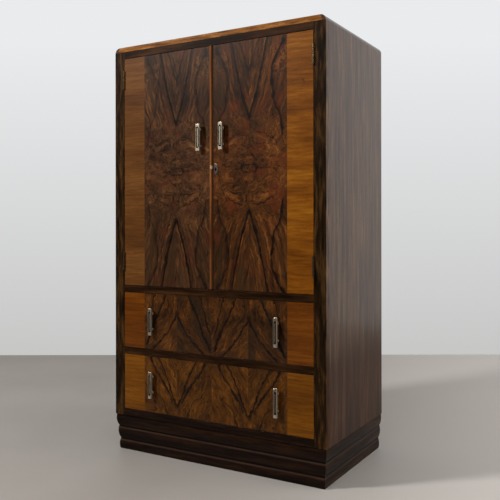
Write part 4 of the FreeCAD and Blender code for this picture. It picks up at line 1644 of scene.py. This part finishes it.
@dataclass
class Carcass:
    """The fixed cabinet: sides, top, rails, plinth and what is inside."""

    edge: float = 0.0006
    brass_edge: float = 0.00025

    def build(self) -> None:
        """Builds and dresses the fixed pieces."""
        self._case()
        self._plinth()
        self._inside()

    def _case(self) -> None:
        """Sides, stiles, top and rails."""
        for side in ("left", "right"):
            refine(side + "_stile", UPRIGHT_WALNUT, self.edge)
            refine(side + "_side_panel", SIDE_WALNUT, self.edge)
        refine("top_board", TOP_WALNUT, self.edge)
        refine("top_front_strip", STRIP_WALNUT, self.edge)
        for rail in ("top_rail", "mid_rail", "drawer_rail"):
            refine(rail, LEVEL_WALNUT, self.edge)
        refine("bottom_rail", PLINTH_WALNUT, self.edge)

    def _plinth(self) -> None:
        """The four ribbed boards."""
        for board in ("plinth_front", "plinth_back"):
            refine(board, PLINTH_WALNUT, self.edge)
        for board in ("plinth_left", "plinth_right"):
            refine(board, PLINTH_SIDE_WALNUT, self.edge)

    def _inside(self) -> None:
        """Shelves, stops, runners, boards and the fixed hinge leaves."""
        for board in ("shelf_lower", "shelf_upper", "door_stop", "drawer_stops"):
            refine(board, INNER_WOOD, self.edge)
        for batten in ("drawer_runners", "drawer_guides", "shelf_bearers"):
            refine(batten, INNER_SIDE_WOOD, self.edge)
        dress(PLYWOOD, "back_panel", "cupboard_floor", "dust_board", "bottom_board")
        for fitting in ("frame_hinge_leaves", "hinge_pins", "frame_hinge_screws"):
            refine(fitting, BRASS, self.brass_edge)


@dataclass
class Door:
    """One cupboard door with its veneers, hinges and handle."""

    side: str
    figure: DoorFigure
    crossband: Timber
    edge: float = 0.0004
    brass_edge: float = 0.00025

    def build(self) -> None:
        """Builds and dresses the door's pieces."""
        name = self.side + "_door_"
        refine(name + "core", CORE_WOOD, self.edge)
        dress(self.figure, name + "burr_veneer")
        dress(self.crossband, name + "crossband")
        refine(name + "hinge_leaves", BRASS, self.brass_edge)
        refine(name + "hinge_screws", BRASS, self.brass_edge)
        low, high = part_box(name + "handle")
        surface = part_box(name + "burr_veneer")[0].y
        spot = ((low.x + high.x) / 2, (low.z + high.z) / 2)
        handle = BarHandle(length=0.084, width=0.015, groove_width=0.0104, rib_width=0.0036)
        handle.build(name + "handle", [spot], surface, NICKEL, NICKEL_RIB)


@dataclass
class Drawer:
    """One drawer with its veneers and two handles."""

    level: str
    figure: DrawerFigure
    crossband: Timber
    edge: float = 0.0005

    def build(self) -> None:
        """Builds and dresses the drawer's pieces."""
        name = self.level + "_drawer_"
        refine(name + "front", CORE_WOOD, self.edge)
        dress(self.figure, name + "burr_veneer")
        dress(self.crossband, name + "crossbands")
        refine(name + "sides", INNER_SIDE_WOOD, self.edge)
        refine(name + "back", INNER_WOOD, self.edge)
        dress(PLYWOOD, name + "bottom")
        handle = BarHandle(width=0.0135, groove_width=0.0092, rib_width=0.0032)
        low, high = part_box(name + "handles")
        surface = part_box(name + "burr_veneer")[0].y
        level = (low.z + high.z) / 2
        spots = [(low.x + handle.width / 2, level), (high.x - handle.width / 2, level)]
        handle.build(name + "handles", spots, surface, DULL_NICKEL, DULL_RIB)


def door_figure(side: str, **options: Any) -> DoorFigure:
    """The figure of one door, centred on its veneer.

    Args:
        side: Which door.
        **options: The other fields of the figure.

    Returns:
        The finish.
    """
    low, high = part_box(side + "_door_burr_veneer")
    return DoorFigure("walnut_figure_" + side, (low.x + high.x) / 2, BURR_HEIGHT, **options)


def drawer_figure(level: str, veins: tuple[Vein, ...], **options: Any) -> DrawerFigure:
    """The figure of one drawer front.

    Args:
        level: Which drawer.
        veins: Its dark lines; the first gives the lean of the grain.
        **options: The other fields of the figure.

    Returns:
        The finish.
    """
    low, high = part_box(level + "_drawer_burr_veneer")
    return DrawerFigure("walnut_figure_" + level, high.x, low.z, veins, veins[0], **options)


def bold(*places: tuple[float, float]) -> Vein:
    """A strong vein of a drawer front through these places."""
    return Vein(places, width=0.0038, depth=1.0, halo=0.012, halo_depth=0.4)


def faint(halo: float, *places: tuple[float, float]) -> Vein:
    """A weaker vein of a drawer front through these places, with a halo that wide."""
    return Vein(places, width=0.0029, depth=0.85, halo=halo, halo_depth=0.3)


UPPER_VEINS = (
    bold((0.0, 0.096), (0.022, 0.072), (0.055, 0.040), (0.090, 0.014), (0.116, 0.0)),
    bold((0.016, 0.122), (0.062, 0.100), (0.108, 0.074), (0.142, 0.060), (0.178, 0.044)),
    faint(0.008, (0.060, 0.124), (0.110, 0.104), (0.178, 0.088)),
)
LOWER_VEINS = (
    bold((0.030, 0.0), (0.066, 0.020), (0.112, 0.038), (0.142, 0.052), (0.178, 0.072)),
    bold((0.046, 0.018), (0.108, 0.058), (0.146, 0.090), (0.178, 0.106)),
    faint(0.010, (0.0, 0.036), (0.036, 0.050), (0.060, 0.070), (0.066, 0.090)),
)


def write_sizes() -> None:
    """Updates the view layer."""
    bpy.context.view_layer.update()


def main() -> None:
    """Builds the studio and dresses each sub-assembly in turn."""
    logging.basicConfig(level=logging.INFO, format="%(message)s")
    view = View()
    view.build()
    bpy.ops.object.select_all(action="DESELECT")
    Studio(view).build()
    Carcass().build()
    plum = door_figure("left", tones=PLUM_TONES, smoke=0.75, outer_shares=(0.5, 0.65))
    russet = door_figure(
        "right", tones=BurrTones(), seed=0.4, warmth=0.1, smoke=0.7, lift=0.028, outer_shares=(0.75, 1.0)
    )
    Door("left", plum, LEFT_CROSSBAND).build()
    Door("right", russet, RIGHT_CROSSBAND).build()
    refine("meeting_bead", BEAD_WALNUT, BEAD_EDGE)
    Escutcheon().build("escutcheon", OLD_STEEL)
    for fitting in ("lock_case", "lock_bolt", "left_door_bolt_case", "left_door_bolt"):
        refine(fitting, IRON, IRON_EDGE)
    dusky = drawer_figure("upper", UPPER_VEINS, tones=DUSKY_TONES, seed=2.0, smoke=0.9)
    amber = drawer_figure("lower", LOWER_VEINS, seed=4.0, smoke=0.2, glow=0.06)
    Drawer("upper", dusky, UPPER_CROSSBAND).build()
    Drawer("lower", amber, LOWER_CROSSBAND).build()
    write_sizes()


if __name__ == "__main__":
    main()
